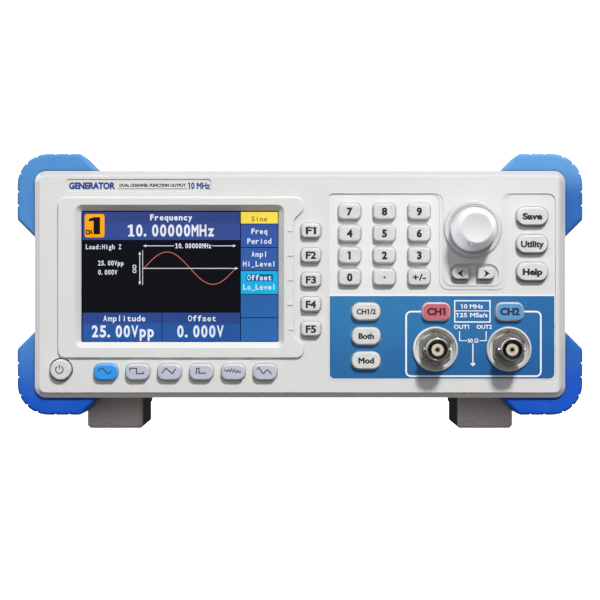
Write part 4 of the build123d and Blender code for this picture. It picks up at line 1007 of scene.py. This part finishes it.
# ---- Collar ---------------------------------------------------------------------------------
def knob_collar():
    """A washer that fills the slot between the knob and the raised ring round it."""
    low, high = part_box("knob")
    middle = (low + high) / 2
    clearance = 0.10 * MM
    inner = (high.x - low.x) / 2 + clearance
    width, height, chamfer = 0.57, 0.95, 0.12
    shoulder = height - 0.15
    profile = [(0.0, 0.0), (0.0, shoulder), (chamfer, height), (width - chamfer, height),
               (width, shoulder), (width, 0.0)]
    steps = 128
    ring = bmesh.new()
    rows = []
    for i in range(steps):
        turn = 2 * math.pi * i / steps
        row = []
        for out, proud in profile:
            radius = inner + out * MM
            row.append(ring.verts.new((middle.x + radius * math.cos(turn), PANEL_Y - proud * MM,
                                       middle.z + radius * math.sin(turn))))
        rows.append(row)
    for i in range(steps):
        a, b = rows[i], rows[(i + 1) % steps]
        for j in range(len(profile)):
            k = (j + 1) % len(profile)
            ring.faces.new((a[j], b[j], b[k], a[k]))
    felt = moulded("collar_felt", srgb(208, 208, 209), roughness=0.8, grain_mm=0.2)
    make_piece("knob_collar", ring, "chassis", felt)


# ---- Studio ---------------------------------------------------------------------------------
def floor_sweep():
    """A pale floor that curves up into a backdrop. It is only seen, and throws back no light. It
    lies low enough for the tilt legs to fold out above it."""
    g = Graph("studio_floor")
    tone = g.ramp(g.noise(300.0, detail=1.0), 0.3, 0.7, 0.985, 1.0)
    g.set(Base_Color=g.mix(tone, srgb(238, 238, 238), srgb(252, 252, 252)), Roughness=0.9)
    g.set(Emission_Color=(1, 1, 1, 1), Emission_Strength=0.95)
    g.set(Specular_IOR_Level=0.0)
    half, front, back, bend, top = 6.0, -4.0, 2.4, 0.9, 5.0
    profile = [(front, 0.0), (back, 0.0)]
    profile += [(back + bend * math.sin(a), bend - bend * math.cos(a))
                for a in (math.radians(9 * i) for i in range(1, 11))]
    profile += [(back + bend, top)]
    mesh = bpy.data.meshes.new("studio_floor")
    level = whole_low.z - FLOOR_DROP
    points = [(side, y, z + level) for y, z in profile for side in (-half, half)]
    faces = [(2 * i, 2 * i + 1, 2 * i + 3, 2 * i + 2) for i in range(len(profile) - 1)]
    mesh.from_pydata(points, [], faces)
    mesh.polygons.foreach_set("use_smooth", [True] * len(faces))
    mesh.materials.append(g.material)
    floor = bpy.data.objects.new("studio_floor", mesh)
    bpy.context.scene.collection.objects.link(floor)
    floor.visible_diffuse = False
    floor.visible_glossy = False
    floor.visible_shadow = False


def disk_light(name, target, way, distance, size, power):
    """A round lamp that shines on the target from the direction way."""
    lamp = bpy.data.lights.new(name, "AREA")
    lamp.shape = "DISK"
    lamp.size = size
    lamp.energy = power
    holder = bpy.data.objects.new(name, lamp)
    holder.location = Vector(target) + Vector(way).normalized() * distance
    holder.rotation_euler = Vector(way).to_track_quat("Z", "Y").to_euler()
    bpy.context.scene.collection.objects.link(holder)


def studio_world():
    """Soft light from above, dark below, with stronger contrast in what shiny parts mirror. The
    camera sees plain white."""
    world = bpy.data.worlds.new("studio")
    bpy.context.scene.world = world
    world.use_nodes = True
    g = Nodes(world.node_tree)
    direction = g.add("ShaderNodeTexCoord").outputs["Generated"]
    path = g.add("ShaderNodeLightPath").outputs

    def glow(way, low, high, weak, strong):
        dot = g.add("ShaderNodeVectorMath", operation="DOT_PRODUCT")
        g.put(dot.inputs[0], direction)
        dot.inputs[1].default_value = Vector(way).normalized()
        return g.ramp(dot.outputs["Value"], low, high, weak, strong)

    soft = glow((-0.35, -0.30, 0.85), -0.6, 0.9, 0.06, 0.46)
    mirrored = glow((-0.30, -0.20, 0.93), 0.0, 0.75, 0.05, 1.6)
    strength = g.mix_numbers(path["Is Glossy Ray"], soft, mirrored)
    strength = g.mix_numbers(path["Is Camera Ray"], strength, 1.0)
    from_below = glow((0.0, 0.0, -1.0), 0.2, 0.7, 0.0, 1.0)
    tone = g.mix(from_below, (0.97, 0.98, 1.0, 1.0), (1.0, 0.88, 0.83, 1.0))
    background = g.tree.nodes["Background"].inputs
    g.put(background["Strength"], strength)
    g.put(background["Color"], g.mix(path["Is Camera Ray"], tone, (1.0, 1.0, 1.0, 1.0)))


def studio():
    """The floor, the surrounding light and the lamps."""
    front = (PANEL_X, PANEL_Y, PANEL_Z)
    middle = (whole_low + whole_high) / 2
    before_feet = (PANEL_X, PANEL_Y - 0.2, whole_low.z)
    floor_sweep()
    studio_world()
    disk_light("key_light", front, (0.21, -0.72, 0.66), 1.6, 0.22, 24.0)
    disk_light("back_light", middle, (-0.3, 0.8, 1.0), 1.8, 1.2, 10.0)
    disk_light("side_light", middle, (1.0, 0.45, 0.2), 1.5, 0.9, 7.0)
    disk_light("floor_light", before_feet, (0.0, -0.75, -1.0), 1.5, 1.2, 1.2)


def camera():
    """A long lens square to the panel, a little below its middle."""
    distance, half_width, drop = 0.780, 124.05 * MM, 6.5 * MM
    lens = bpy.data.cameras.new("camera")
    lens.sensor_width = 36.0
    lens.angle = 2 * math.atan(half_width / distance)
    holder = bpy.data.objects.new("camera", lens)
    holder.location = (PANEL_X, PANEL_Y - distance, PANEL_Z - drop)
    holder.rotation_euler = (math.radians(90), 0, 0)
    bpy.context.scene.collection.objects.link(holder)
    bpy.context.scene.camera = holder
    bpy.context.scene.view_settings.view_transform = "Standard"


# ---- Put together ---------------------------------------------------------------------------
dress_cad_nodes()
word_legends()
point_legend()
arrow_legends()
wave_legends()
power_legend()
nameplate()
overlay_print()
rear_print()
knob_collar()
screen_fields()
screen_words()
screen_cell_words()
screen_trace()
studio()
camera()
